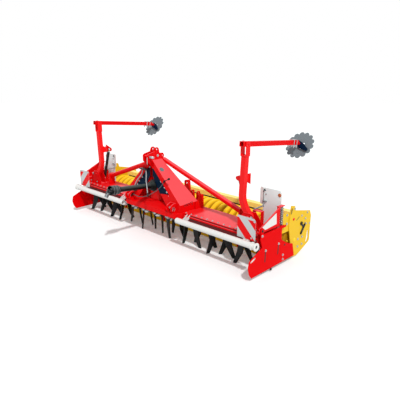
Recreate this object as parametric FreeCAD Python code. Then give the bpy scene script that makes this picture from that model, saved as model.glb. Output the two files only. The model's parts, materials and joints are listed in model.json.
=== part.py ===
import FreeCAD, Part
import math
import os

# Power harrow with fourteen rotors, a packer roller and two folding track markers.
# Millimetres.  +X is the machine's left-hand side, -Y is the way it is pulled,
# +Z is up.  The origin is on the ground, under the middle of the whole machine.

V = FreeCAD.Vector

# ---------------------------------------------------------------- general
SEAT = 0.3                   # gap at which pieces of one body lie on each other
RUN = 1.0                    # gap round a pin or shaft that turns
SHEET = 8.0                  # folded sheet
FACET = math.radians(30)     # flat steps of a rounded corner
PIN_SIDES = 12               # flat steps of a pin or of its hole
LINK_SIDES = 12              # the same for link pins and bars
WORK_WIDTH = 4000.0          # outer face of one side plate to that of the other

# ---------------------------------------------------------------- ends, from the outside inwards
SIDE_THICK = 10.0
SIDE_GAP = 4.0               # side plate to spring bracket
BRACKET_THICK = 8.0
SWING_GAP = 11.0             # spring bracket to roller cheek
CHEEK_THICK = 12.0
ARM_THICK = 12.0
ARM_GAP = 5.0                # roller arm to end plate
END_PLATE = 12.0
SIDE_OUTER = WORK_WIDTH / 2
SIDE_INNER = SIDE_OUTER - SIDE_THICK
BRACKET_OUTER = SIDE_INNER - SIDE_GAP
BRACKET_INNER = BRACKET_OUTER - BRACKET_THICK
CHEEK_OUTER = BRACKET_INNER - SWING_GAP
CHEEK_INNER = CHEEK_OUTER - CHEEK_THICK
ARM_INNER = CHEEK_INNER - ARM_THICK
END_OUTER = ARM_INNER - ARM_GAP
TROUGH_HALF = END_OUTER - END_PLATE

# ---------------------------------------------------------------- gear trough and its cover
ROTOR_COUNT = 14
ROTOR_PITCH = WORK_WIDTH / ROTOR_COUNT
ROTOR_Y = -125.0             # line of the rotors' axes
TROUGH_AHEAD = 190.0         # rotor axis to the front flange
TROUGH_DEPTH = 400.0         # front flange to rear flange
TROUGH_FRONT = ROTOR_Y - TROUGH_AHEAD
TROUGH_REAR = TROUGH_FRONT + TROUGH_DEPTH
TROUGH_BOTTOM = 345.0
DECK_TOP = 525.0
COVER_LIP = 24.0             # depth of the cover's bent edges
FLANGE_THICK = 12.0
FLANGE_WIDTH = 46.0
PAN_SLOPE = 58.0
PAN_CORNER = 34.0
BEARING_HALF = 70.0
BEARING_THICK = 12.0
END_RISE = 71.0              # end plate above the cover
END_DROP = 6.0
END_CUT = 75.0
DECK_FRONT = TROUGH_FRONT - SHEET
DECK_REAR = TROUGH_REAR + SHEET
ON_DECK = DECK_TOP + SEAT

# ---------------------------------------------------------------- rotors
TIP_CLEARANCE = 8.0          # gap between the circles that neighbouring tips sweep
TIP_R = (ROTOR_PITCH - TIP_CLEARANCE) / 2
FLANGE_R = 74.0
FLANGE_SIDES = 10
ROTOR_PLATE = 16.0
POCKET_DEPTH = 34.0
POCKET_WALL = 9.0
TINE_WIDTH = 90.0            # at the holder; the tip is narrower
TIP_WIDTH = 46.0
TINE_THICK = 16.0
TINE_EDGE = 14.0             # length of the ground leading edge
TINE_OFFSET = 56.0           # rotor axis to the middle of a tine at its top
TIP_OFFSET = 76.0            # the same at its tip
TINE_KNEE = 0.55             # height of the bend, as a share of the tine
TIP_TRAIL = math.sqrt(TIP_R ** 2 - (TIP_OFFSET + TINE_THICK / 2) ** 2) - TIP_WIDTH / 2

# Where one tip of each rotor stands, in degrees from +X, from the right-hand end.
TIP_ANGLES = [-105, -145, -85, -110, 15, -85, -10, -55, -45, -30, -75, -175, -130, -60]

# ---------------------------------------------------------------- packer roller and its frame
ROLLER_Y = 465.0
ROLLER_R = 267.0
ROLLER_SIDES = 16
ROLLER_TUBE_R = 212.0
ROLLER_WALL = 12.0
RING_COUNT = 31
RING_CROWN = 0.38            # flat crown of a ring, as a share of the pitch
RING_FOOT = 0.78             # the same at the tube
ROLLER_END_GAP = 9.0
ROLLER_HALF = ARM_INNER - ROLLER_END_GAP
AXLE_R = 30.0
AXLE_Z = ROLLER_R * math.cos(math.pi / ROLLER_SIDES)
AXLE_BOSS = 4.0
CHEEK_LOW = 20.0             # ground to the cheek's lowest point
ARM_PIVOT_Y = -15.0
ARM_PIVOT_Z = 470.0
ARM_PIVOT_R = 22.0
ARM_EYE = 44.0
BEAM_TUBE = 100.0
BEAM_BEHIND = 220.0          # axle to beam, along Y
BEAM_ABOVE = 258.0
SCRAPER_WIDTH = 30.0
SCRAPER_THICK = 6.0
SCRAPER_GAP = 18.0           # scraper to tube of the roller

# ---------------------------------------------------------------- side plates
SIDE_BOTTOM = 50.0
SIDE_TOP = 560.0
SIDE_FRONT = -579.0
SIDE_REAR = 422.0
SIDE_PIVOT_Y = -323.0
SIDE_PIVOT_Z = SIDE_TOP + 48.0
SIDE_PIN_R = 12.0
SPRING_R = 27.0
SPRING_Y = 103.0
SPRING_HIGH = 256.0
SPRING_SEAT = 6.0
SPRING_X = SIDE_INNER + SHEET - SPRING_R
BRACKET_RISE = 14.0          # side plate's top to the bracket

# ---------------------------------------------------------------- apron in front of the trough
APRON_HALF = 640.0
APRON_TAPER = 110.0
APRON_FRONT = -440.0
APRON_LOW = 425.0
RAMP_RISE = 66.0

# ---------------------------------------------------------------- three-point headstock
LINK_SPACING = 965.0         # category 3, pin to pin
LINK_Y = -425.0
LINK_Z = 593.0
LINK_PIN_R = 18.3
LINK_GAP = 66.0              # between the two ears that hold a lower-link pin
LINK_EAR = 16.0
LINK_NOSE = 34.0
BRACKET_X = LINK_SPACING / 2 - LINK_GAP / 2 - LINK_EAR
WEB_INSIDE = 105.0           # link bracket to the leg web's inner corner
RAMP_HALF = BRACKET_X - WEB_INSIDE - 1
PIN_END = 14.0               # pin beyond its ear
MAST_HEIGHT = 667.0
TOP_LINK_Y = -435.0
TOP_LINK_Z = LINK_Z + MAST_HEIGHT
TOP_PIN_R = 15.9
TOP_GAP = 70.0
APEX_THICK = 15.0
APEX_HALF = TOP_GAP / 2 + APEX_THICK
APEX_LOW = 175.0             # top-link pin to the plates' lower edge
LOBE_R = 32.0
LEG_FRONT = -365.0
LEG_HEAD_REAR = -189.0
LEG_FOOT_REAR = -30.0
LEG_DEEP = 58.0
LEG_HEAD_X = APEX_HALF + 35.0
LEG_HEAD_Z = TOP_LINK_Z - 90.0
LEG_FOOT_X = LINK_SPACING / 2 + 122.0
LEG_FOOT_Z = DECK_TOP + 125.0
WEB_THICK = 10.0
WEB_WIDTH = 80.0
FOOT_OUT = 15.0              # foot box beyond the cover's edge
FOOT_WIDE = 140.0
BRACE_R = 30.0
BRACE_TOP_Y = -150.0
BRACE_FOOT_Y = -64.0
BRACE_FOOT_Z = 672.0
GUARD_THICK = 4.0

# ---------------------------------------------------------------- lugs behind the headstock
LUG_THICK = 12.0
LUG_Y = 30.0
LUG_R = 35.0
LUG_HIGH = 240.0
LUG_HOLE_R = 13.0

# ---------------------------------------------------------------- gearbox and drive shaft
GEARBOX_HALF = 112.0
GEARBOX_FRONT = -330.0
GEARBOX_REAR = -20.0
GEARBOX_TOP = 990.0
GEARBOX_CORNER = 26.0
PTO_Z = 812.0
PTO_RISE = 5.0               # degrees above level, towards the tractor
PTO_RIM = 768.0              # gearbox to the rim of the tractor-end bell
PTO_GUARD_R = 38.0
PTO_BELL_R = 68.0
PTO_BELL_LONG = 140.0
PTO_BELL_WALL = 5.0
PTO_BOOT_R = 92.0
PTO_SHAFT_R = 22.0
PTO_SIDES = 16
CROSS_AHEAD = 14.0           # rim to the middle of the universal joint
YOKE_BEND = 58.0             # degrees from the shaft down to the tractor yoke
YOKE_HUB_R = 27.0
YOKE_HUB_LONG = 62.0
YOKE_ARM = 34.0              # joint to the hub
YOKE_BORE_R = 17.5
YOKE_SPREAD = 32.0

# ---------------------------------------------------------------- front bars and warning boards
BAR_R = 40.0
BAR_WALL = 5.0
BAR_MOUTH = 70.0             # depth of its open inner end
BAR_Y = -445.0
BAR_Z = 439.0
BAR_INNER = 620.0
BAR_OUTER = SIDE_OUTER - 50.0
BAR_RIM = 12.0               # end disc beyond the bar, all round
BOARD = 282.0
BOARD_THICK = 3.0
BOARD_CORNER = 40.0
FRONT_BOARD_X = BAR_OUTER + 3 - BOARD / 2
FRONT_BOARD_Y = -400.0
FRONT_BOARD_Z = 622.0
REAR_BOARD_X = END_OUTER - 2 - BOARD / 2
REAR_BOARD_Y = 145.0
REAR_BOARD_Z = 718.0
REAR_BOARD_TALL = 564.0

# ---------------------------------------------------------------- track markers
MARKER_Y = -185.0            # plane in which a post folds outwards
FOLD_X = SIDE_OUTER - 300.0
FOLD_Z = 690.0
BRACE_FOOT_X = FOLD_X - 233  # the brace's foot stands beside the hinge
FOLD_PIN_R = 16.0
FOLD_EYE = 40.0
POST_TUBE = 70.0
POST_BEND = 300.0
KNEE_IN = 134.0              # fold pin to the bend of the post
KNEE_UP = 160.0
HEAD_IN = 105.0              # fold pin to the arm's hinge
HEAD_UP = 905.0
HEAD_X = FOLD_X - HEAD_IN
HEAD_Z = FOLD_Z + HEAD_UP
FORK_DROP = 137.0            # arm's hinge to the top of the tube
FORK_HALF = 40.0
FORK_GAP = 5.0               # arm to each cheek of the fork
FORK_THICK = 8.0
MARKER_TUBE = 64.0
MARKER_WALL = 5.0
ARM_STUB = 80.0              # arm in front of its hinge
ARM_REACH = 1160.0           # arm behind its hinge
ARM_DROOP = 5.5              # degrees
ARM_PIN_R = 12.0
DISC_R = 215.0
DISC_TEETH = 14
DISC_BEYOND = 86.0           # end of the arm to the disc, along the arm
DISC_LOWER = 40.0
DISC_TILT = 38.0             # degrees between the disc's axle and level
DISC_THICK = 6.0
DISC_HUB_R = 44.0
SPINDLE_R = 20.0
HUB_PLATE = 10.0
HUB_REACH = 170.0
BASE_GAP = 6.0               # post to each cheek of its hinge
BASE_THICK = 10.0
BASE_IN = 140.0
BASE_OUT = 180.0
FOOT_THICK = 12.0
FOOT_BEHIND = 21.0           # foot behind the ram's plane
RAM_ROOM = 11.0              # folded ram to the box behind it
BOX_IN = 50.0                # box behind the hinge, from the fold pin inwards
BOX_OUT = 85.0
BOX_REAR = -5.0
BOX_RISE = 50.0              # fold pin to the box's roof
CLAMP_R = 9.0                # rod that holds the rear board
CLAMP_HIGH = 70.0
RAM_OFFSET = 80.0            # post's plane to the ram's
RAM_Y = MARKER_Y + RAM_OFFSET
RAM_EYE_IN = 250.0
RAM_EYE_UP = 450.0
RAM_FOOT_IN = 80.0
RAM_FOOT_DROP = 40.0
RAM_EYE_X = FOLD_X - RAM_EYE_IN
RAM_EYE_Z = FOLD_Z + RAM_EYE_UP
RAM_FOOT_X = FOLD_X - RAM_FOOT_IN
RAM_FOOT_Z = FOLD_Z - RAM_FOOT_DROP
RAM_PIN_R = 10.0
RAM_R = 24.0
RAM_END = 44.0               # barrel's end to the rod's eye
ROD_R = 11.0
RAM_LUG_R = 24.0
RAM_LUG_HALF = 14.0
EAR_THICK = 8.0

# ---------------------------------------------------------------- cable, hoses and what holds them
CORD_SIDES = 6
HOSE_R = 8.0
CABLE_R = 6.0
HOLDER_LOW = 1050.0
HOLDER_THICK = 16.0
HOLDER_REACH = 68.0          # holder in front of the leg's web
CLIP_TOP = 690.0
LEVER_R = 7.0
LEVER_BALL = 19.0
SOCKET_LONG = 28.0           # socket that a cord leaves
COUPLER_LONG = 56.0
HOSE_MAST = [(-45, -425, HOLDER_LOW), (-45, -425, 1002), (-25, -442, 957), (30, -493, 909), (88, -532, 883),
             (122, -550, 825), (128, -552, 765)]
HOSE_WEB = [(-155, -405, HOLDER_LOW), (-155, -405, 1000), (-188, -407, 948), (-272, -412, 872),
            (-335, -405, 800), (-370, -403, 745), (-370, -403, CLIP_TOP)]
CABLE = [(300, -392, 917), (268, -405, 859), (188, -414, 792), (98, -417, 733), (-35, -417, 662),
         (-130, -415, 628), (-225, -412, 604), (-315, -409, 598), (-400, -405, 612)]


# ---------------------------------------------------------------- helpers
def on_yz(x):
    return lambda u, v: V(x, u, v)


def on_xz(y):
    return lambda u, v: V(u, y, v)


def on_xy(z):
    return lambda u, v: V(u, v, z)


def outline(points, place):
    """Closed polygon.  A point is (u, v), or (u, v, r) where its corner is rounded to r in flat steps."""
    corners = []
    for i, point in enumerate(points):
        at = V(point[0], point[1], 0)
        if len(point) < 3:
            corners.append(at)
            continue
        before, after = points[i - 1], points[(i + 1) % len(points)]
        back = (V(before[0], before[1], 0) - at).normalize()
        ahead = (V(after[0], after[1], 0) - at).normalize()
        half = back.getAngle(ahead) / 2
        turn = math.pi - 2 * half
        centre = at + (back + ahead).normalize() * (point[2] / math.sin(half))
        first = at + back * (point[2] / math.tan(half)) - centre
        last = at + ahead * (point[2] / math.tan(half)) - centre
        steps = max(2, math.ceil(turn / FACET - 1e-6))
        for step in range(steps + 1):
            share = step / steps
            near, far = math.sin((1 - share) * turn), math.sin(share * turn)
            corners.append(centre + (first * near + last * far) * (1 / math.sin(turn)))
    corners.append(corners[0])
    return Part.makePolygon([place(corner.x, corner.y) for corner in corners])


def plate_x(points, x0, x1):
    return Part.Face(outline(points, on_yz(x0))).extrude(V(x1 - x0, 0, 0))


def plate_y(points, y0, y1):
    return Part.Face(outline(points, on_xz(y0))).extrude(V(0, y1 - y0, 0))


def plate_z(points, z0, z1):
    return Part.Face(outline(points, on_xy(z0))).extrude(V(0, 0, z1 - z0))


def block(x0, x1, y0, y1, z0, z1):
    return Part.makeBox(x1 - x0, y1 - y0, z1 - z0, V(x0, y0, z0))


def cylinder(start, end, radius):
    way = end.sub(start)
    return Part.makeCylinder(radius, way.Length, start, way)


def pipe(start, end, radius, wall):
    way = end.sub(start)
    return cylinder(start, end, radius).cut(cylinder(start.sub(way), end.add(way), radius - wall))


def rod(start, end, radius, sides=PIN_SIDES):
    """Round bar in flat steps that stay inside its radius."""
    way = end.sub(start)
    return turned(start, way, [(0, radius), (way.Length, radius)], sides)


def rod_x(x0, x1, y, z, radius):
    return rod(V(x0, y, z), V(x1, y, z), radius)


def rod_y(x, y0, y1, z, radius):
    return rod(V(x, y0, z), V(x, y1, z), radius)


def hole(start, end, radius, sides=PIN_SIDES):
    """Tool for a round hole in flat steps that stay outside its radius, set halfway between a pin's."""
    way = end.sub(start)
    first = V(1, 0, 0) if abs(way.x) < 0.9 * way.Length else V(0, 0, 1)
    first = FreeCAD.Rotation(way, 180 / sides).multVec(first.sub(way * (first.dot(way) / way.dot(way))))
    reach = radius / math.cos(math.pi / sides)
    return turned(start, way, [(0, reach), (way.Length, reach)], sides, first)


def hole_x(x0, x1, y, z, radius):
    return hole(V(x0, y, z), V(x1, y, z), radius)


def hole_y(x, y0, y1, z, radius):
    return hole(V(x, y0, z), V(x, y1, z), radius)


def skin(rings):
    """Solid with flat faces between rings of points, closed at the first and the last."""
    faces = []
    for low, high in zip(rings, rings[1:]):
        for i in range(len(low)):
            j = (i + 1) % len(low)
            faces.append(Part.Face(Part.makePolygon([low[i], low[j], high[j], high[i], low[i]])))
    for ring in (rings[0], rings[-1]):
        faces.append(Part.Face(Part.makePolygon(ring + [ring[0]])))
    shell = Part.Shell(faces)
    shell.sewShape()
    solid = Part.Solid(shell)
    if solid.Volume < 0:
        solid.reverse()
    return solid


def turned(start, way, profile, sides, first=None):
    """Facetted solid of revolution; profile holds (distance along way, radius) pairs."""
    way = V(way).normalize()
    first = first or (V(1, 0, 0) if abs(way.x) < 0.9 else V(0, 0, 1))
    across = first.sub(way * first.dot(way)).normalize()
    up = way.cross(across)
    rings = []
    for distance, radius in profile:
        ring = []
        for i in range(sides):
            angle = 2 * math.pi * i / sides
            ring.append(start + way * distance + (across * math.cos(angle) + up * math.sin(angle)) * radius)
        rings.append(ring)
    return skin(rings)


def square_bar(start, end, size, side, corner=None):
    """Square bar from start to end; side is one direction across it."""
    way = end.sub(start)
    across = V(side).sub(way * (side.dot(way) / way.dot(way))).normalize()
    up = way.cross(across).normalize()
    half = size / 2
    square = [(-half, -half), (half, -half), (half, half), (-half, half)]
    if corner:
        square = [point + (corner,) for point in square]
    return Part.Face(outline(square, lambda u, v: start + across * u + up * v)).extrude(way)


def box_tube(start, end, size, wall, side, corner=None):
    way = end.sub(start)
    hollow = square_bar(start.sub(way), end.add(way), size - 2 * wall, side)
    return square_bar(start, end, size, side, corner).cut(hollow)


def cord(name, route, radius):
    """Tube along straight runs joined by arcs that are as large as their two runs allow."""
    points = [V(*point) for point in route]
    edges, start, radii = [], points[0], []
    for before, at, after in zip(points, points[1:], points[2:]):
        back, ahead = before.sub(at), after.sub(at)
        run = 0.45 * min(back.Length, ahead.Length)
        turn = math.pi - back.getAngle(ahead)
        back.normalize()
        ahead.normalize()
        radius_here = run / math.tan(turn / 2)
        radii.append(radius_here)
        middle = at + (back + ahead).normalize() * (radius_here / math.cos(turn / 2) - radius_here)
        edges.append(Part.LineSegment(start, at + back * run).toShape())
        edges.append(Part.Arc(at + back * run, middle, at + ahead * run).toShape())
        start = at + ahead * run
    edges.append(Part.LineSegment(start, points[-1]).toShape())
    path = Part.Wire(edges)
    way = points[1].sub(points[0]).normalize()
    across = way.cross(V(0, 1, 0)).normalize()
    up = way.cross(across)
    ring = []
    for i in range(CORD_SIDES):
        angle = 2 * math.pi * i / CORD_SIDES
        ring.append(points[0] + (across * math.cos(angle) + up * math.sin(angle)) * radius)
    tube = path.makePipeShell([Part.makePolygon(ring + [ring[0]])], True, False)
    section = Part.Face(Part.makePolygon(ring + [ring[0]])).Area
    print("%s: length %.0f, radii %s, volume / (section x length) %.3f" % (
        name, path.Length, [round(value) for value in radii], tube.Volume / (section * path.Length)))
    return tube


def join(*shapes):
    whole = shapes[0]
    for shape in shapes[1:]:
        whole = whole.fuse(shape)
    return whole.removeSplitter()


def cut(shape, *tools):
    for tool in tools:
        shape = shape.cut(tool)
    return shape


def mirrored(shape):
    return shape.mirror(V(0, 0, 0), V(1, 0, 0))


def save(name, *shapes):
    shape = shapes[0] if len(shapes) == 1 else Part.makeCompound(list(shapes))
    shape.exportStep("parts/" + name + ".step")


def save_both(name, shape):
    """A piece and its mirror image in one node."""
    save(name, shape, mirrored(shape))


def save_pair(name, shape):
    """A piece and its mirror image in a node each, because each moves by itself."""
    save(name + "_left", shape)
    save(name + "_right", mirrored(shape))


# ---------------------------------------------------------------- trough and cover
def rotor_x(index):
    return (index - (ROTOR_COUNT - 1) / 2) * ROTOR_PITCH


def chamfered_square(half, chamfer):
    near, far = half - chamfer, half
    return [(-near, -far), (near, -far), (far, -near), (far, near), (near, far), (-near, far),
            (-far, near), (-far, -near)]


def make_trough():
    """Folded pan with out-turned flanges, end plates and a bearing flange under each rotor."""
    lip_top = DECK_TOP - SHEET
    lip_low = lip_top - FLANGE_THICK
    wall_front = TROUGH_FRONT + FLANGE_WIDTH
    wall_rear = TROUGH_REAR - FLANGE_WIDTH
    pan = [(TROUGH_FRONT, lip_low), (wall_front, lip_low),
           (wall_front + PAN_SLOPE, TROUGH_BOTTOM, PAN_CORNER),
           (wall_rear - PAN_SLOPE, TROUGH_BOTTOM, PAN_CORNER),
           (wall_rear, lip_low), (TROUGH_REAR, lip_low), (TROUGH_REAR, lip_top), (TROUGH_FRONT, lip_top)]
    trough = plate_x(pan, -TROUGH_HALF, TROUGH_HALF)
    bearings = []
    for index in range(ROTOR_COUNT):
        corners = [(rotor_x(index) + u, ROTOR_Y + v) for u, v in chamfered_square(BEARING_HALF, BEARING_HALF / 2)]
        bearings.append(plate_z(corners, TROUGH_BOTTOM - BEARING_THICK, TROUGH_BOTTOM + 1))
    low, top = TROUGH_BOTTOM - END_DROP, DECK_TOP + END_RISE
    end = [(TROUGH_FRONT, low + END_CUT), (TROUGH_FRONT + END_CUT, low), (TROUGH_REAR - END_CUT, low),
           (TROUGH_REAR, low + END_CUT), (TROUGH_REAR, top - SHEET), (TROUGH_REAR - SHEET, top),
           (TROUGH_FRONT + SHEET, top), (TROUGH_FRONT, top - SHEET)]
    end_plate = plate_x(end, TROUGH_HALF, END_OUTER)
    pivot = rod_x(TROUGH_HALF, CHEEK_INNER + 3, ARM_PIVOT_Y, ARM_PIVOT_Z, ARM_PIVOT_R)
    end_plate = end_plate.fuse(pivot)
    return join(trough, end_plate, mirrored(end_plate), *bearings)


def make_deck():
    """Cover plate of the trough with its two edges bent down."""
    low = DECK_TOP - SHEET
    section = [(DECK_FRONT, low - COVER_LIP), (TROUGH_FRONT, low - COVER_LIP), (TROUGH_FRONT, low),
               (TROUGH_REAR, low), (TROUGH_REAR, low - COVER_LIP), (DECK_REAR, low - COVER_LIP),
               (DECK_REAR, DECK_TOP - 3), (DECK_REAR - 3, DECK_TOP), (DECK_FRONT + 3, DECK_TOP),
               (DECK_FRONT, DECK_TOP - 3)]
    return plate_x(section, -TROUGH_HALF, TROUGH_HALF)


def make_apron():
    """Folded beam in front of the trough with drawn-in ends and a sloping cover behind its edge."""
    rear = DECK_FRONT - SEAT
    section = [(rear, APRON_LOW), (APRON_FRONT + 34, APRON_LOW), (APRON_FRONT, APRON_LOW + 22),
               (APRON_FRONT + 6, DECK_TOP - 10), (APRON_FRONT + 16, DECK_TOP), (rear, DECK_TOP)]
    beam = plate_x(section, -APRON_HALF, APRON_HALF)
    for side in (-1, 1):
        corner = [(side * (APRON_HALF - APRON_TAPER), APRON_FRONT - 20),
                  (side * (APRON_HALF + 1), APRON_FRONT - 20), (side * (APRON_HALF + 1), rear - 30)]
        beam = beam.cut(plate_z(corner, APRON_LOW - 1, DECK_TOP + 1))
    ramp = plate_x([(APRON_FRONT + 16, DECK_TOP), (rear, DECK_TOP), (rear, DECK_TOP + RAMP_RISE)],
                   -RAMP_HALF, RAMP_HALF)
    return join(beam, ramp)


# ---------------------------------------------------------------- headstock
def leg_point(share, drop, y):
    """Point on a leg; share runs from its head (0) to its foot (1), drop goes in from the cover."""
    head, foot = V(LEG_HEAD_X, 0, LEG_HEAD_Z), V(LEG_FOOT_X, 0, LEG_FOOT_Z)
    way = foot.sub(head)
    inward = V(way.z, 0, -way.x).normalize()
    return head + way * share + inward * drop + V(0, y, 0)


def leg_rear(share):
    return LEG_HEAD_REAR + share * (LEG_FOOT_REAR - LEG_HEAD_REAR)


def leg_slab(head, foot, front, rear, top, bottom):
    """Tapered slab along a leg; front and rear are moved in by that much, top and bottom are drops."""
    rings = []
    for share in (head, foot):
        y0, y1 = LEG_FRONT + front, leg_rear(share) - rear
        rings.append([leg_point(share, top, y0), leg_point(share, top, y1), leg_point(share, bottom, y1),
                      leg_point(share, bottom, y0)])
    return skin(rings)


def flat(points):
    return [(point.x, point.z) for point in points]


def make_leg():
    """Tapered cover of folded sheet, open underneath, with a front web and a boxed foot."""
    cover = leg_slab(-0.1, 1.0, 0, 0, 0, LEG_DEEP)
    cover = cover.cut(leg_slab(-0.2, 1.1, SHEET, SHEET, SHEET, LEG_DEEP + 20))
    outer, inner = LEG_FOOT_X + FOOT_OUT, LEG_FOOT_X + FOOT_OUT - FOOT_WIDE
    foot = [(LEG_FOOT_X, LEG_FOOT_Z), (outer, LEG_FOOT_Z - FOOT_OUT), (outer, ON_DECK), (inner, ON_DECK),
            (inner, LEG_FOOT_Z - 20)]
    web_rear = LEG_FRONT + SHEET
    box = plate_y(foot, LEG_FRONT, leg_rear(1.0))
    room = [(LEG_FOOT_X - 6, LEG_FOOT_Z - SHEET), (outer - SHEET, LEG_FOOT_Z - FOOT_OUT - SHEET),
            (outer - SHEET, ON_DECK + SHEET), (inner + SHEET, ON_DECK + SHEET), (inner + SHEET, LEG_FOOT_Z - 28)]
    box = box.cut(plate_y(room, web_rear, leg_rear(1.0) - SHEET))
    slots = []
    for index in range(3):
        middle = LEG_FRONT + 85 + index * 45
        slots.append(block(outer - 2 * SHEET, outer + 1, middle - 15, middle + 15,
                           LEG_FOOT_Z - 46, LEG_FOOT_Z - 34))
    web = flat([leg_point(-0.1, 0, 0), leg_point(1.0, 0, 0)])
    web += [(outer, LEG_FOOT_Z - FOOT_OUT), (outer, ON_DECK), (BRACKET_X - WEB_INSIDE, ON_DECK),
            (BRACKET_X - WEB_INSIDE, ON_DECK + 48), (BRACKET_X - 230, ON_DECK + 205)]
    web += flat([leg_point(0.70, WEB_WIDTH, 0), leg_point(-0.1, WEB_WIDTH, 0)])
    front = plate_y(web, LEG_FRONT - WEB_THICK, LEG_FRONT)
    mast = block(-APEX_HALF, APEX_HALF, LEG_FRONT - 100, 200, ON_DECK, TOP_LINK_Z + 200)
    return cut(join(cover, box, front), mast, *slots)


def make_link_bracket():
    """Two ears that hold the lower-link pin, in front of the headstock's foot."""
    middle = LINK_SPACING / 2
    rear = LEG_FRONT - WEB_THICK - SEAT
    nose = LINK_Y - 45
    ear = [(rear, LINK_Z + 60), (rear - 30, LINK_Z + 62), (nose, LINK_Z + 34, LINK_NOSE),
           (nose, LINK_Z - 40, 24), (LINK_Y - 12, ON_DECK), (rear, ON_DECK)]
    ears = []
    for start in (middle - LINK_GAP / 2 - LINK_EAR, middle + LINK_GAP / 2):
        ears.append(plate_x(ear, start, start + LINK_EAR))
    half = LINK_GAP / 2 + LINK_EAR
    back = block(middle - half - 10, middle + half + 10, rear - 10, rear, ON_DECK, LINK_Z + 60)
    start, end = V(middle - half - PIN_END, LINK_Y, LINK_Z), V(middle + half + PIN_END, LINK_Y, LINK_Z)
    return join(ears[0], ears[1], back, rod(start, end, LINK_PIN_R, LINK_SIDES))


def make_apex():
    """Two lobed mast plates with the top-link pin, a cross tube and a spacer."""
    nose = TOP_LINK_Y - 40
    rear = LEG_HEAD_REAR + 16
    low = TOP_LINK_Z - APEX_LOW
    top_lobe, rear_lobe = TOP_LINK_Y + 150, TOP_LINK_Y + 257
    top = TOP_LINK_Z + 90 + LOBE_R
    profile = [(nose, TOP_LINK_Z + 36, LOBE_R), (nose, TOP_LINK_Z - 60), (LEG_FRONT - WEB_THICK - 10, low + 25),
               (LEG_FRONT - WEB_THICK - 10, low), (rear, low), (rear, TOP_LINK_Z - 60),
               (rear_lobe + LOBE_R, TOP_LINK_Z - 10, LOBE_R), (rear_lobe + 6, TOP_LINK_Z + 30, 18),
               (top_lobe + 48, TOP_LINK_Z + 34), (top_lobe + 30, top, LOBE_R), (top_lobe - LOBE_R, top, LOBE_R - 4),
               (top_lobe - LOBE_R - 24, TOP_LINK_Z + 62)]
    plates = []
    for start in (-APEX_HALF, TOP_GAP / 2):
        plates.append(plate_x(profile, start, start + APEX_THICK))
    reach = APEX_HALF + PIN_END
    pin = rod(V(-reach, TOP_LINK_Y, TOP_LINK_Z), V(reach, TOP_LINK_Y, TOP_LINK_Z), TOP_PIN_R, LINK_SIDES)
    tube = rod_x(-TOP_GAP / 2 - 5, TOP_GAP / 2 + 5, rear - 30, low + 45, BRACE_R)
    holes = [hole_x(-APEX_HALF - 1, APEX_HALF + 1, top_lobe, TOP_LINK_Z + 90, LUG_HOLE_R),
             hole_x(-APEX_HALF - 1, APEX_HALF + 1, rear_lobe, TOP_LINK_Z - 8, LUG_HOLE_R - 3)]
    return cut(join(plates[0], plates[1], pin, tube), *holes)


def make_brace():
    """Tube from the mast to an upright foot plate on the deck, beside the marker."""
    foot = V(BRACE_FOOT_X, BRACE_FOOT_Y, BRACE_FOOT_Z)
    tube = rod(V(0, BRACE_TOP_Y, TOP_LINK_Z - 60), foot, BRACE_R, ROLLER_SIDES)
    stand = plate_x([(BRACE_FOOT_Y - 50, ON_DECK), (BRACE_FOOT_Y + 50, ON_DECK),
                     (BRACE_FOOT_Y + 44, BRACE_FOOT_Z + 44), (BRACE_FOOT_Y - 44, BRACE_FOOT_Z + 44)],
                    BRACE_FOOT_X - 8, BRACE_FOOT_X + 8)
    mast = block(-APEX_HALF - SEAT, APEX_HALF + SEAT, -900, 900, ON_DECK, TOP_LINK_Z + 900)
    return join(tube, stand).cut(mast)


def make_guard():
    """Dark sheet guard behind a leg's web, beside the drive shaft."""
    points = flat([leg_point(0.0, LEG_DEEP + 4, 0), leg_point(0.70, LEG_DEEP + 4, 0)])
    points += [(LINK_SPACING / 2 - 85, ON_DECK + 180), (LINK_SPACING / 2 - 306, ON_DECK + 204),
               (30, TOP_LINK_Z - 295), (30, TOP_LINK_Z - 150)]
    guard = plate_y(points, LEG_FRONT + SEAT, LEG_FRONT + SEAT + GUARD_THICK)
    return guard.cut(block(0, APEX_HALF + SEAT, LEG_FRONT, 0, TOP_LINK_Z - APEX_LOW - SEAT, TOP_LINK_Z))


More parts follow.
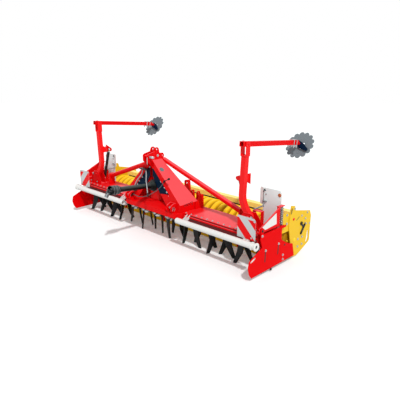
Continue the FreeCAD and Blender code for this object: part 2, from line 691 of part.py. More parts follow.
def make_rear_lugs():
    """Upright ears behind each leg's foot, which carry an implement that follows."""
    ears = []
    middle = LINK_SPACING / 2 + 38
    for x in (middle - 58, middle + 58):
        ear = [(LUG_Y - 50, ON_DECK), (LUG_Y + 50, ON_DECK), (LUG_Y + LUG_R, ON_DECK + LUG_HIGH, LUG_R - 3),
               (LUG_Y - LUG_R, ON_DECK + LUG_HIGH, LUG_R - 3)]
        ears.append(plate_x(ear, x - LUG_THICK / 2, x + LUG_THICK / 2))
    eye = hole_x(middle - 80, middle + 80, LUG_Y, ON_DECK + LUG_HIGH - LUG_R, LUG_HOLE_R)
    strip = block(middle - 70, middle + 70, LUG_Y - 50, LUG_Y + 48, ON_DECK, ON_DECK + SHEET)
    gusset_x = LEG_FOOT_X + FOOT_OUT + 14
    gusset = plate_x([(LEG_FOOT_REAR - 60, ON_DECK), (LUG_Y + 50, ON_DECK), (LUG_Y + 44, ON_DECK + 190),
                      (LUG_Y - 20, ON_DECK + 216), (LEG_FOOT_REAR - 60, ON_DECK + 60)],
                     gusset_x, gusset_x + LUG_THICK)
    tie = block(middle, gusset_x, LUG_Y + 20, LUG_Y + 20 + SHEET, ON_DECK, ON_DECK + 90)
    tall_x = LINK_SPACING / 2 - 82
    tall = plate_x([(LEG_FOOT_REAR - 30, ON_DECK), (LUG_Y + 36, ON_DECK), (LUG_Y + 10, ON_DECK + 380, 26),
                    (LEG_FOOT_REAR - 44, ON_DECK + 392, 20)], tall_x - LUG_THICK / 2, tall_x + LUG_THICK / 2)
    tall = tall.cut(hole_x(tall_x - 20, tall_x + 20, -24, ON_DECK + 340, LUG_HOLE_R))
    return [cut(join(strip, gusset, tie, *ears), eye), tall]


# ---------------------------------------------------------------- drive
def pto_way():
    angle = math.radians(PTO_RISE)
    return V(0, -math.cos(angle), math.sin(angle))


def pto_point(distance):
    return V(0, GEARBOX_FRONT, PTO_Z) + pto_way() * distance


def make_gearbox():
    """Gearbox with cut corners, a narrower cap, an input boss and its bolted foot."""
    inner, outer = GEARBOX_HALF - GEARBOX_CORNER, GEARBOX_HALF
    front, rear = GEARBOX_FRONT + 20, GEARBOX_REAR
    plan = [(-inner, front), (inner, front), (outer, front + GEARBOX_CORNER), (outer, rear - GEARBOX_CORNER),
            (inner, rear), (-inner, rear), (-outer, rear - GEARBOX_CORNER), (-outer, front + GEARBOX_CORNER)]
    body = plate_z(plan, ON_DECK, GEARBOX_TOP - 60)
    cap = block(-inner, inner, front + 30, rear - 30, GEARBOX_TOP - 62, GEARBOX_TOP)
    boss = turned(pto_point(-40), pto_way(), [(0, PTO_BOOT_R), (36, PTO_BOOT_R - 10)], PTO_SIDES)
    foot = block(-outer - 50, outer + 50, front + 10, rear - 10, ON_DECK, ON_DECK + 26)
    ribs = [block(-outer - 12, outer + 12, y, y + 14, ON_DECK + 20, GEARBOX_TOP - 110)
            for y in (front + 90, front + 190)]
    return join(body, cap, boss, foot, *ribs)


def make_pto_guard():
    """Ribbed boot at the gearbox, guard tube and open bell at the tractor's end."""
    boot, tube = PTO_BOOT_R, PTO_GUARD_R
    bell_start = PTO_RIM - PTO_BELL_LONG
    profile = [(-4 + SEAT, boot - 4), (30, boot - 4), (34, boot - 14), (52, boot - 10), (56, boot - 22),
               (74, boot - 18), (80, boot - 32), (110, tube), (bell_start - 24, tube),
               (bell_start, PTO_BELL_R - 10), (PTO_RIM, PTO_BELL_R)]
    outside = turned(pto_point(0), pto_way(), profile, PTO_SIDES)
    inside = turned(pto_point(0), pto_way(), [(bell_start + 10, tube), (PTO_RIM + 1, PTO_BELL_R - PTO_BELL_WALL)],
                    PTO_SIDES)
    bore = hole(pto_point(bell_start - 80), pto_point(PTO_RIM), PTO_SHAFT_R + RUN / 2)
    return outside.cut(inside).cut(bore)


def make_pto_yoke():
    """End of the shaft: a fork, the joint's cross, and the splined yoke that hangs from it."""
    joint = PTO_RIM + CROSS_AHEAD
    centre = pto_point(joint)
    way = pto_way()
    bend = math.radians(YOKE_BEND)
    level = V(1, 0, 0)
    under = level.cross(way).normalize()
    if under.z > 0:
        under = under * -1
    hang = way * math.cos(bend) + under * math.sin(bend)
    side = level.cross(hang).normalize()
    shaft = rod(pto_point(PTO_RIM - PTO_BELL_LONG - 76), pto_point(joint - YOKE_ARM), PTO_SHAFT_R)
    pieces = [shaft]
    for sign in (-1, 1):
        tip = centre + level * (sign * YOKE_SPREAD)
        base = pto_point(joint - YOKE_ARM - 14) + level * (sign * (YOKE_SPREAD - 8))
        pieces.append(square_bar(base, tip + way * 14, 18, level))
        other = centre + side * (sign * YOKE_SPREAD)
        root = centre + hang * (YOKE_ARM + 14) + side * (sign * (YOKE_SPREAD - 12))
        pieces.append(square_bar(root, other - hang * 12, 18, side))
    pieces.append(rod(centre - level * (YOKE_SPREAD + 10), centre + level * (YOKE_SPREAD + 10), 9))
    pieces.append(rod(centre - side * (YOKE_SPREAD + 10), centre + side * (YOKE_SPREAD + 10), 9))
    pieces.append(turned(pto_point(joint - YOKE_ARM - 16), way, [(0, 34), (18, 34)], FLANGE_SIDES))
    hub_start = centre + hang * YOKE_ARM
    pieces.append(rod(hub_start, hub_start + hang * YOKE_HUB_LONG, YOKE_HUB_R))
    bore = cylinder(hub_start + hang * 6, hub_start + hang * (YOKE_HUB_LONG + 1), YOKE_BORE_R)
    return join(*pieces).cut(bore)


# ---------------------------------------------------------------- cable, hoses and what holds them
def socket(point, beyond, radius):
    """Short socket that holds the end of a cord; beyond is the cord's next point."""
    end = V(*point)
    way = end.sub(V(*beyond)).normalize()
    return rod(end, end + way * SOCKET_LONG, radius)


def make_lever():
    """Hand lever on the leg's web, with a ball, which works the cable."""
    face = LEG_FRONT - WEB_THICK - SEAT
    hub = V(CABLE[0][0] + 12, face - 22, CABLE[0][2] + 22)
    boss = rod_y(hub.x, hub.y, face, hub.z, 2 * LEVER_R)
    ball = hub + V(122, -12, 56)
    way = ball.sub(hub).normalize()
    knob = turned(ball - way * LEVER_BALL, way, [(0, LEVER_BALL / 2), (LEVER_BALL / 2, LEVER_BALL * 0.9),
                                                 (1.5 * LEVER_BALL, LEVER_BALL * 0.9), (2 * LEVER_BALL, LEVER_BALL / 2)],
                  FLANGE_SIDES)
    return join(boss, rod(hub + V(0, 8, 0), ball, LEVER_R), knob, socket(CABLE[0], CABLE[1], 1.6 * CABLE_R))


def make_hose_holders():
    """Shelf under the mast and clip at the leg's foot for the hoses, and the cable's far socket."""
    face = LEG_FRONT - WEB_THICK - SEAT
    shelf = block(HOSE_WEB[0][0] - 30, HOSE_MAST[0][0] + 20, face - HOLDER_REACH, face, HOLDER_LOW,
                  HOLDER_LOW + HOLDER_THICK)
    clip = block(HOSE_WEB[-1][0] - 22, HOSE_WEB[-1][0] + 22, HOSE_WEB[-1][1] - 20, face, CLIP_TOP - 18, CLIP_TOP)
    inner = -BRACKET_X + SEAT
    end = V(*CABLE[-1])
    pad = rod_x(inner, inner + 14, end.y, end.z + 4, 2 * CABLE_R)
    return [shelf, clip, join(pad, socket(CABLE[-1], CABLE[-2], 1.6 * CABLE_R))]


def make_coupler():
    """Coupling on the free end of the mast's hose."""
    end = V(*HOSE_MAST[-1])
    way = end.sub(V(*HOSE_MAST[-2])).normalize()
    return turned(end, way, [(0, HOSE_R + 3), (18, HOSE_R + 3), (18.5, HOSE_R + 6), (COUPLER_LONG, HOSE_R + 6)],
                  PIN_SIDES)


# ---------------------------------------------------------------- rotors
def make_tine(turn, top):
    """Knife blade that hangs at +X and trails behind the way it turns; its tip is on the ground."""
    knee = TINE_KNEE * top
    rings = []
    for z, x, trail, width, edge in ((top, TINE_OFFSET, 0.0, TINE_WIDTH, TINE_EDGE),
                                     (knee, TINE_OFFSET + 5, 0.24 * TIP_TRAIL, 0.92 * TINE_WIDTH, TINE_EDGE),
                                     (0.0, TIP_OFFSET, TIP_TRAIL, TIP_WIDTH, TINE_EDGE)):
        back, front = -turn * (trail + width / 2), -turn * (trail - width / 2)
        shoulder = front + (-turn * edge)
        half = TINE_THICK / 2
        rings.append([V(x - half, back, z), V(x + half, back, z), V(x + half, shoulder, z), V(x, front, z),
                      V(x - half, shoulder, z)])
    return skin(rings)


def make_rotor(index):
    """Drive plate with two tine pockets and their trailing knife tines; neighbours turn opposite ways."""
    turn = 1 if index % 2 == 0 else -1
    top = TROUGH_BOTTOM - BEARING_THICK - SEAT
    low = top - ROTOR_PLATE
    rotor = turned(V(0, 0, low), V(0, 0, 1), [(0, FLANGE_R), (ROTOR_PLATE, FLANGE_R)], FLANGE_SIDES)
    across, along = TINE_THICK / 2 + POCKET_WALL, TINE_WIDTH / 2 + POCKET_WALL
    for side in (0, 180):
        pocket = [(TINE_OFFSET - across, -along), (TINE_OFFSET + across, -along), (TINE_OFFSET + across, along),
                  (TINE_OFFSET - across, along)]
        holder = plate_z(pocket, low - POCKET_DEPTH, low + 4)
        blade = make_tine(turn, low - POCKET_DEPTH + 10).fuse(holder)
        blade.rotate(V(0, 0, 0), V(0, 0, 1), side)
        rotor = rotor.fuse(blade)
    lag = math.degrees(math.atan2(TIP_TRAIL, TIP_OFFSET))
    rotor.rotate(V(0, 0, 0), V(0, 0, 1), TIP_ANGLES[index % len(TIP_ANGLES)] + turn * lag)
    rotor.translate(V(rotor_x(index), ROTOR_Y, 0))
    return rotor.removeSplitter()


# ---------------------------------------------------------------- ends
def make_side_plate():
    """Sprung end plate beside the rotors, with its pivot arm and the spring's seat."""
    low, top = SIDE_BOTTOM, SIDE_TOP
    pivot = SIDE_PIVOT_Y
    profile = [(SIDE_FRONT + 70, low), (SIDE_REAR, low + 12), (SIDE_REAR - 50, low + 196),
               (SIDE_REAR - 130, low + 224), (SIDE_REAR - 230, low + 270), (SIDE_REAR - 320, low + 330),
               (SPRING_Y - 4, top - 30), (SPRING_Y + 85, top - 30), (SPRING_Y + 85, top),
               (pivot + 33, top), (pivot + 24, SIDE_PIVOT_Z + 22), (pivot - 24, SIDE_PIVOT_Z + 22),
               (pivot - 30, top - 60), (pivot + 12, low + 340), (SIDE_FRONT + 20, low + 234, 30),
               (SIDE_FRONT, low + 150, 60), (SIDE_FRONT + 24, low + 62)]
    plate = plate_x(profile, SIDE_INNER, SIDE_OUTER)
    pin = rod_x(END_OUTER + SEAT, SIDE_INNER + 1, pivot, SIDE_PIVOT_Z, SIDE_PIN_R)
    seat = block(SPRING_X - SPRING_R - 4, SIDE_OUTER, SPRING_Y - 40, SPRING_Y + 40, top, top + SPRING_SEAT)
    return join(plate, pin, seat)


def make_spring_bracket():
    """Triangular spring carrier on the trough's end plate, with a cap over the spring."""
    low = SIDE_TOP + BRACKET_RISE
    front, rear = SIDE_PIVOT_Y - 42, SPRING_Y - SPRING_R - 23
    top = SIDE_TOP + SPRING_SEAT + SPRING_HIGH
    shelf = block(END_OUTER + SEAT, BRACKET_OUTER, front, rear - SHEET, low, low + 20)
    cheek = plate_x([(front, low), (front, low + 66), (rear, top + 12), (rear, low)], BRACKET_INNER, BRACKET_OUTER)
    cap_inner = SPRING_X - SPRING_R
    cap = block(cap_inner, SIDE_OUTER - 2, rear - 18, SPRING_Y + SPRING_R + 10, top + SEAT, top + SHEET)
    web = block(cap_inner, BRACKET_OUTER, rear - 10, rear, low, top + 4)
    pivot = hole_x(END_OUTER, SIDE_OUTER, SIDE_PIVOT_Y, SIDE_PIVOT_Z, SIDE_PIN_R + SEAT)
    return join(shelf, cheek, cap, web).cut(pivot)


def make_spring():
    start = V(SPRING_X, SPRING_Y, SIDE_TOP + SPRING_SEAT + SEAT)
    return rod(start, start + V(0, 0, SPRING_HIGH - SEAT), SPRING_R)


def make_front_bar():
    """Round bar in front of the rotors, open at its inner end, on sheet stays from the trough."""
    start, end = V(BAR_INNER, BAR_Y, BAR_Z), V(BAR_OUTER, BAR_Y, BAR_Z)
    bar = rod(start, end, BAR_R, LINK_SIDES)
    disc = rod(end - V(BAR_RIM, 0, 0), end, BAR_R + BAR_RIM, LINK_SIDES)
    mouth = rod(start, start + V(BAR_MOUTH, 0, 0), BAR_R - BAR_WALL)
    lip = DECK_FRONT - SEAT
    stay = [(BAR_Y + 30, BAR_Z - 16), (lip, DECK_TOP - 50), (lip, DECK_TOP - 4), (BAR_Y + 26, BAR_Z + 28)]
    pieces = []
    for x in (BAR_INNER + 90, BAR_INNER + 140, FRONT_BOARD_X - 25, FRONT_BOARD_X + 25):
        pieces.append(plate_x(stay, x - 5, x + 5))
    back = FRONT_BOARD_Y + BOARD_THICK + SEAT
    pieces.append(block(FRONT_BOARD_X - 50, FRONT_BOARD_X + 50, back, back + 6, BAR_Z, FRONT_BOARD_Z + 60))
    eye = hole_x(BAR_OUTER - BAR_MOUTH, BAR_OUTER + 1, BAR_Y, BAR_Z, BAR_R / 2)
    return cut(join(bar, disc, *pieces), mouth, eye)


def make_board(x, y, z, width, tall):
    half, high = width / 2, tall / 2
    return plate_y([(x - half, z - high), (x + half, z - high), (x + half, z + high, BOARD_CORNER),
                    (x - half + 6, z + high), (x - half, z + high - 6)], y, y + BOARD_THICK)


# ---------------------------------------------------------------- marker's hinge
def cheek_start():
    return POST_TUBE / 2 + BASE_GAP


def make_marker_base():
    """Two hinge cheeks on a foot, with the fold pin and the ram's foot pin."""
    inner, outer = FOLD_X - BASE_IN, FOLD_X + BASE_OUT
    shape = [(inner, ON_DECK), (inner, FOLD_Z - 50), (FOLD_X - 70, FOLD_Z + 52), (FOLD_X + 60, FOLD_Z + 55),
             (FOLD_X + 140, FOLD_Z - 50), (outer, ON_DECK)]
    gap = cheek_start()
    cheeks = []
    for start in (MARKER_Y - gap - BASE_THICK, MARKER_Y + gap):
        cheeks.append(plate_y(shape, start, start + BASE_THICK))
    pin = rod_y(FOLD_X, MARKER_Y - gap - 20, MARKER_Y + gap + 12, FOLD_Z, FOLD_PIN_R)
    foot = block(inner, outer, MARKER_Y - gap - BASE_THICK, RAM_Y + FOOT_BEHIND, ON_DECK, ON_DECK + FOOT_THICK)
    ram_pin = rod_y(RAM_FOOT_X, MARKER_Y + gap, RAM_Y + RAM_LUG_HALF + 8, RAM_FOOT_Z, RAM_PIN_R)
    return join(cheeks[0], cheeks[1], pin, foot, ram_pin)


def make_end_box():
    """Folded box behind the marker's hinge."""
    top, inner, outer = FOLD_Z + BOX_RISE, FOLD_X - BOX_IN, FOLD_X + BOX_OUT
    front = RAM_Y + RAM_R + RAM_ROOM
    roof = block(inner, outer, front, BOX_REAR, top - SHEET, top)
    sides = [block(inner, inner + SHEET, front, BOX_REAR, ON_DECK, top),
             block(outer - SHEET, outer, front, BOX_REAR, ON_DECK, top)]
    return join(roof, *sides)


def make_board_clamp():
    """Bent rod from the box's roof to the inner edge of the rear board."""
    x, y = FOLD_X - BOX_IN + CLAMP_R + 4, REAR_BOARD_Y - SEAT - CLAMP_R
    z = FOLD_Z + BOX_RISE + SEAT + CLAMP_R
    points = [V(x, BOX_REAR - 55, z), V(x, y, z), V(x, y, z + CLAMP_HIGH),
              V(REAR_BOARD_X - BOARD / 2 + 60, y, z + CLAMP_HIGH)]
    rods = [rod(start, end, CLAMP_R) for start, end in zip(points, points[1:])]
    knees = [rod(point - V(CLAMP_R, 0, 0), point + V(CLAMP_R, 0, 0), CLAMP_R) for point in points[1:3]]
    return join(*rods, *knees)


# ---------------------------------------------------------------- roller
def make_roller():
    """Packer drum: ring after ring of trapezoid section on a closed tube, with its stub axles."""
    pitch = 2 * ROLLER_HALF / RING_COUNT
    foot, crown = RING_FOOT * pitch / 2, RING_CROWN * pitch / 2
    profile = [(0.0, ROLLER_TUBE_R)]
    for index in range(RING_COUNT):
        middle = (index + 0.5) * pitch
        profile += [(middle - foot, ROLLER_TUBE_R), (middle - crown, ROLLER_R), (middle + crown, ROLLER_R),
                    (middle + foot, ROLLER_TUBE_R)]
    profile.append((2 * ROLLER_HALF, ROLLER_TUBE_R))
    left = V(-ROLLER_HALF, ROLLER_Y, AXLE_Z)
    turn = math.pi / ROLLER_SIDES
    first = V(0, math.sin(turn), -math.cos(turn))
    drum = turned(left, V(1, 0, 0), profile, ROLLER_SIDES, first)
    inside = [(ROLLER_WALL, ROLLER_TUBE_R - ROLLER_WALL), (2 * ROLLER_HALF - ROLLER_WALL, ROLLER_TUBE_R - ROLLER_WALL)]
    drum = drum.cut(turned(left, V(1, 0, 0), inside, ROLLER_SIDES, first))
    reach = CHEEK_OUTER + AXLE_BOSS
    for side in (-1, 1):
        drum = drum.fuse(rod_x(side * (ROLLER_HALF - ROLLER_WALL / 2), side * reach, ROLLER_Y, AXLE_Z, AXLE_R))
    return drum


def make_roller_cheek():
    """Outer plate of the roller's frame, and the arm that swings on the trough's end."""
    y, z = ROLLER_Y, AXLE_Z
    cheek = plate_x([(y - 122, z + 505), (y - 36, z + 486), (y - 16, z + 420), (y + 358, z + 335),
                     (y + 394, z + 260, 30), (y + 389, z + 55), (y + 390, z - 118, 40), (y + 248, z - 178),
                     (y + 75, CHEEK_LOW, 20), (y - 46, CHEEK_LOW + 6, 20), (y - 162, z + 246)],
                    CHEEK_INNER, CHEEK_OUTER)
    eye = ARM_EYE
    arm = plate_x([(ARM_PIVOT_Y - eye, ARM_PIVOT_Z + eye, eye - 4), (ARM_PIVOT_Y - eye, ARM_PIVOT_Z - eye, eye - 4),
                   (y - 315, ARM_PIVOT_Z - eye), (y - 85, z + 160), (y + 15, z + 210), (y - 25, z + 300),
                   (y - 175, z + 424), (y - 290, z + 424), (y - 315, ARM_PIVOT_Z + eye)], ARM_INNER, CHEEK_INNER)
    window = plate_x([(y + 320, z + 56), (y + 350, z + 38), (y + 357, z - 62), (y + 335, z - 112),
                      (y + 285, z - 134), (y + 308, z - 42)], CHEEK_INNER - 1, CHEEK_OUTER + 1)
    slot = plate_x([(y - 126, z + 470), (y - 112, z + 468), (y - 104, z + 384), (y - 118, z + 384)],
                   CHEEK_INNER - 1, CHEEK_OUTER + 1)
    pivot = hole_x(ARM_INNER - 1, CHEEK_OUTER + 1, ARM_PIVOT_Y, ARM_PIVOT_Z, ARM_PIVOT_R + RUN)
    axle = hole_x(ARM_INNER - 1, CHEEK_OUTER + 1, ROLLER_Y, AXLE_Z, AXLE_R + RUN)
    return cut(join(cut(cheek, window, slot), arm), pivot, axle)


def beam_centre(x):
    return V(x, ROLLER_Y + BEAM_BEHIND, AXLE_Z + BEAM_ABOVE)


def make_scraper_beam():
    """Square beam across the roller's frame."""
    return box_tube(beam_centre(-CHEEK_INNER), beam_centre(CHEEK_INNER), BEAM_TUBE, SHEET, V(0, 1, 0))


def make_scrapers():
    """One scraper between each two rings, hung from a strip under the beam."""
    pitch = 2 * ROLLER_HALF / RING_COUNT
    under = beam_centre(0).z - BEAM_TUBE / 2 - SEAT
    strip_y = beam_centre(0).y
    strip = block(-ROLLER_HALF + pitch / 2, ROLLER_HALF - pitch / 2, strip_y - 40, strip_y + 40, under - 8, under)
    reach = ROLLER_TUBE_R + SCRAPER_GAP
    top = V(0, strip_y - 34, under - 4)
    axle = V(0, ROLLER_Y, AXLE_Z)
    toward = V(0, strip_y - ROLLER_Y + 34, BEAM_ABOVE - BEAM_TUBE / 2 - 120).normalize()
    tip = axle + toward * reach
    along = tip.sub(top).normalize()
    normal = V(0, -along.z, along.y) * (SCRAPER_THICK / 2)
    profile = [top - normal, top + normal, tip + normal, tip - normal]
    blades = []
    for index in range(1, RING_COUNT):
        x = -ROLLER_HALF + index * pitch
        blades.append(plate_x([(p.y, p.z) for p in profile], x - SCRAPER_WIDTH / 2, x + SCRAPER_WIDTH / 2))
    return join(strip, *blades)


# ---------------------------------------------------------------- track markers
def make_post():
    """Square tube with a bent foot, a fork for the arm and two ears for the ram's rod."""
    foot = V(FOLD_X, MARKER_Y, FOLD_Z)
    knee = V(FOLD_X - KNEE_IN, MARKER_Y, FOLD_Z + KNEE_UP)
    head = V(HEAD_X, MARKER_Y, HEAD_Z - FORK_DROP)
    lower, upper = knee.sub(foot).normalize(), head.sub(knee).normalize()
    bend = lower.getAngle(upper)
    run = POST_BEND * math.tan(bend / 2)
    before, after = knee.sub(lower * run), knee.add(upper * run)
    middle = knee.add((upper - lower).normalize() * (POST_BEND / math.cos(bend / 2) - POST_BEND))
    path = Part.Wire([Part.LineSegment(foot, before).toShape(), Part.Arc(before, middle, after).toShape(),
                      Part.LineSegment(after, head).toShape()])
    half = POST_TUBE / 2
    across = lower.cross(V(0, 1, 0)).normalize()
    square = [(-half, -half), (half, -half), (half, half), (-half, half)]
    tube = path.makePipeShell([outline(square, lambda u, v: foot + across * u + V(0, 1, 0) * v)], True, False)
    eye = rod_y(FOLD_X, MARKER_Y - half, MARKER_Y + half, FOLD_Z, FOLD_EYE)
    fork = MARKER_TUBE / 2 + FORK_GAP
    low = HEAD_Z - FORK_DROP - 12
    pieces = [tube, eye, block(HEAD_X - fork, HEAD_X + fork, MARKER_Y - FORK_HALF, MARKER_Y + FORK_HALF, low, low + 12)]
    for start in (-fork - FORK_THICK, fork):
        cheek = [(MARKER_Y - FORK_HALF, low), (MARKER_Y + FORK_HALF, low), (MARKER_Y + FORK_HALF, HEAD_Z + 36, 30),
                 (MARKER_Y - FORK_HALF, HEAD_Z + 36, 30)]
        pieces.append(plate_x(cheek, HEAD_X + start, HEAD_X + start + FORK_THICK))
    ear = [(HEAD_X, RAM_EYE_Z - 70), (HEAD_X, RAM_EYE_Z + 70), (RAM_EYE_X + 10, RAM_EYE_Z + 30),
           (RAM_EYE_X - 25, RAM_EYE_Z + 14), (RAM_EYE_X - 22, RAM_EYE_Z - 16), (RAM_EYE_X, RAM_EYE_Z - 30)]
    spread = 2 * RAM_OFFSET - half
    for start in (half - 2, spread - 6):
        pieces.append(plate_y(ear, MARKER_Y + start, MARKER_Y + start + EAR_THICK))
    pieces.append(block(HEAD_X - 35, HEAD_X - 23, MARKER_Y + half - 2, MARKER_Y + spread,
                        RAM_EYE_Z - 40, RAM_EYE_Z + 40))
    fold_hole = hole_y(FOLD_X, MARKER_Y - half - 1, MARKER_Y + half + 1, FOLD_Z, FOLD_PIN_R + RUN)
    arm_hole = hole_x(HEAD_X - 2 * fork, HEAD_X + 2 * fork, MARKER_Y, HEAD_Z, ARM_PIN_R + RUN / 2)
    return cut(join(*pieces), fold_hole, arm_hole)


def arm_way():
    angle = math.radians(ARM_DROOP)
    return V(0, math.cos(angle), -math.sin(angle))


def disc_axis():
    angle = math.radians(DISC_TILT)
    return V(0, math.cos(angle), -math.sin(angle))


def disc_up():
    return V(1, 0, 0).cross(disc_axis())


def disc_centre():
    return V(HEAD_X, MARKER_Y, HEAD_Z) + arm_way() * (ARM_REACH + DISC_BEYOND) + V(0, 0, -DISC_LOWER)


def make_arm():
    """Square tube hinged in the post's fork, with its pin and the disc's spindle."""
    hinge = V(HEAD_X, MARKER_Y, HEAD_Z)
    end = hinge + arm_way() * ARM_REACH
    tube = box_tube(hinge - arm_way() * ARM_STUB, end, MARKER_TUBE, MARKER_WALL, V(1, 0, 0))
    disc, axis = disc_centre(), disc_axis()
    spindle = rod(disc - axis * 70, disc + axis * 8, SPINDLE_R)
    plug = square_bar(end - arm_way() * 10, end, MARKER_TUBE, V(1, 0, 0))
    strap = square_bar(end - arm_way() * 80, disc - axis * 50, 34, V(1, 0, 0))
    half = V(MARKER_TUBE / 2 + FORK_GAP + FORK_THICK + 5, 0, 0)
    return join(tube, plug, strap, spindle, rod(hinge - half, hinge + half, ARM_PIN_R))


def make_hub(side):
    """Tapered plate beside the disc's bearing; it points the same way on both markers."""
    centre, axis = disc_centre(), disc_axis()
    centre.x *= side
    along = (V(0.9, 0, 0) - disc_up() * 0.436).normalize()
    if disc_up().z < 0:
        along = (V(0.9, 0, 0) + disc_up() * 0.436).normalize()
    across = axis.cross(along)
    start = centre - axis * (22 + HUB_PLATE)

    def place(u, v):
        return start + along * u + across * v

    shape = [(-46, -42), (40, -44), (HUB_REACH, -20), (HUB_REACH + 14, 0), (HUB_REACH, 20), (40, 44), (-46, 42)]
    plate = Part.Face(outline(shape, place)).extrude(axis * HUB_PLATE)
    return plate.cut(hole(centre - axis * 90, centre + axis * 20, SPINDLE_R + SEAT))


def make_disc():
    """Marking disc with rounded teeth, and its hub."""
    points = []
    step = 2 * math.pi / DISC_TEETH
    for index in range(DISC_TEETH):
        for share, radius in ((-0.32, 0.885), (-0.15, 1.0), (0.15, 1.0), (0.32, 0.885), (0.5, 0.855)):
            angle = (index + share) * step
            points.append((DISC_R * radius * math.cos(angle), DISC_R * radius * math.sin(angle)))
    disc = Part.Face(outline(points, on_xy(0))).extrude(V(0, 0, DISC_THICK))
    hub = turned(V(0, 0, -12), V(0, 0, 1), [(0, DISC_HUB_R - 10), (12, DISC_HUB_R), (12 + DISC_THICK + 6, DISC_HUB_R)],
                 FLANGE_SIDES)
    solid = join(disc, hub).cut(hole(V(0, 0, -30), V(0, 0, 30), SPINDLE_R + RUN / 2))
    solid.rotate(V(0, 0, 0), V(1, 0, 0), -90 - DISC_TILT)
    solid.translate(disc_centre())
    return solid


def make_ram():
    """Barrel and rod of the folding ram."""
    foot, eye = V(RAM_FOOT_X, RAM_Y, RAM_FOOT_Z), V(RAM_EYE_X, RAM_Y, RAM_EYE_Z)
    way = eye.sub(foot).normalize()
    length = eye.sub(foot).Length
    barrel = rod(foot + way * 20, foot + way * (length - RAM_END), RAM_R)
    lug = rod_y(foot.x, RAM_Y - RAM_LUG_HALF, RAM_Y + RAM_LUG_HALF, foot.z, RAM_LUG_R)
    bore = hole(foot + way * 60, eye, ROD_R + RUN)
    pin_bore = hole_y(foot.x, RAM_Y - 30, RAM_Y + 30, foot.z, RAM_PIN_R + RUN / 2)
    stem = rod(foot + way * 70, eye - way * 15, ROD_R)
    loop = rod_y(eye.x, RAM_Y - RAM_LUG_HALF + 2, RAM_Y + RAM_LUG_HALF - 2, eye.z, RAM_LUG_R - 2)
    return join(barrel, lug).cut(bore).cut(pin_bore), join(stem, loop)


# ---------------------------------------------------------------- write the parts
def main():
    os.makedirs("parts", exist_ok=True)
    save("trough", make_trough())
    save("deck", make_deck())
    save("apron", make_apron())
    save_both("legs", make_leg())
    save_both("link_brackets", make_link_bracket())
    save("apex", make_apex())
    save_both("braces", make_brace())
    save_both("inner_guards", make_guard())
    lugs = make_rear_lugs()
    save("rear_lugs", *lugs, *[mirrored(lug) for lug in lugs])
    save("hose_mast", cord("hose_mast", HOSE_MAST, HOSE_R))
    save("hose_web", cord("hose_web", HOSE_WEB, HOSE_R))
    save("cable", cord("cable", CABLE, CABLE_R))
    save("hose_coupler", make_coupler())
    save("hose_holders", *make_hose_holders())
    save("lever", make_lever())
    save("gearbox", make_gearbox())
    save("pto_guard", make_pto_guard())
    save("pto_yoke", make_pto_yoke())
    save_both("side_plates", make_side_plate())
    save_both("spring_brackets", make_spring_bracket())
    save_both("side_springs", make_spring())
    save_both("front_bars", make_front_bar())
    save_both("front_boards", make_board(FRONT_BOARD_X, FRONT_BOARD_Y, FRONT_BOARD_Z, BOARD, BOARD))
    save_both("rear_boards", make_board(REAR_BOARD_X, REAR_BOARD_Y, REAR_BOARD_Z, BOARD, REAR_BOARD_TALL))
    save_both("marker_bases", make_marker_base())
    save_both("end_boxes", make_end_box())
    save_both("board_clamps", make_board_clamp())
    for index in range(ROTOR_COUNT):
        save("rotor_%02d" % (index + 1), make_rotor(index))
    save("packer_roller", make_roller())
    save_both("roller_cheeks", make_roller_cheek())
    save("scraper_beam", make_scraper_beam())
    save("scrapers", make_scrapers())
    save_pair("marker_post", make_post())
    save_pair("marker_arm", make_arm())
    save("marker_hub_left", make_hub(1))
    save("marker_hub_right", make_hub(-1))
    save_pair("marker_disc", make_disc())
    barrel, stem = make_ram()
    save_pair("ram_barrel", barrel)
    save_pair("ram_rod", stem)


main()
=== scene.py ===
"""Looks of a mounted power harrow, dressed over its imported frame."""

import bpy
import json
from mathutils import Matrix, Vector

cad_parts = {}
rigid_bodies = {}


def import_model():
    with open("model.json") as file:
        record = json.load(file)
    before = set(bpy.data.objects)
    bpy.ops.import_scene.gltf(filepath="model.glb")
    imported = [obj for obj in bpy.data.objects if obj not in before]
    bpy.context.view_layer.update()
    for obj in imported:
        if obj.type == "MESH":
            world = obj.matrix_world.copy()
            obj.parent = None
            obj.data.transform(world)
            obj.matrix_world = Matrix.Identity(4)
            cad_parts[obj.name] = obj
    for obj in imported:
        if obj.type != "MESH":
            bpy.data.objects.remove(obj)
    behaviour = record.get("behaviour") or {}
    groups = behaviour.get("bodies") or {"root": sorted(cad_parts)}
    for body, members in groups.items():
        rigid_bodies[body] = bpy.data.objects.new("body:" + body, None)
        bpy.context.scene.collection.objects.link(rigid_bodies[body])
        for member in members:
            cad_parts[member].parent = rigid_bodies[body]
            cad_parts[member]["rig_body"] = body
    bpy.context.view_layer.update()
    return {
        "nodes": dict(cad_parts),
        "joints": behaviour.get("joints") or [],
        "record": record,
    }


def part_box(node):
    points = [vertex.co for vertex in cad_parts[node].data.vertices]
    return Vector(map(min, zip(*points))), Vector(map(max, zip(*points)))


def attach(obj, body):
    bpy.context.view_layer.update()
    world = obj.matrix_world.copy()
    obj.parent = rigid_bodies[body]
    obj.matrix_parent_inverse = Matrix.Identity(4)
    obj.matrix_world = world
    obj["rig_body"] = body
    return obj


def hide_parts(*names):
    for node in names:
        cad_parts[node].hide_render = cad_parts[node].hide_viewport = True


bl_info = {
    "name": "Power harrow looks",
    "version": (1, 0, 0),
    "blender": (4, 5, 0),
    "location": "3D View > Sidebar > Harrow",
    "description": "Finishes the plates and models the roller, tines, springs, bolts and hoses of a power harrow",
    "category": "Object",
}

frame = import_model()

import json
from functools import partial
from math import atan2, cos, pi, radians, sin, sqrt

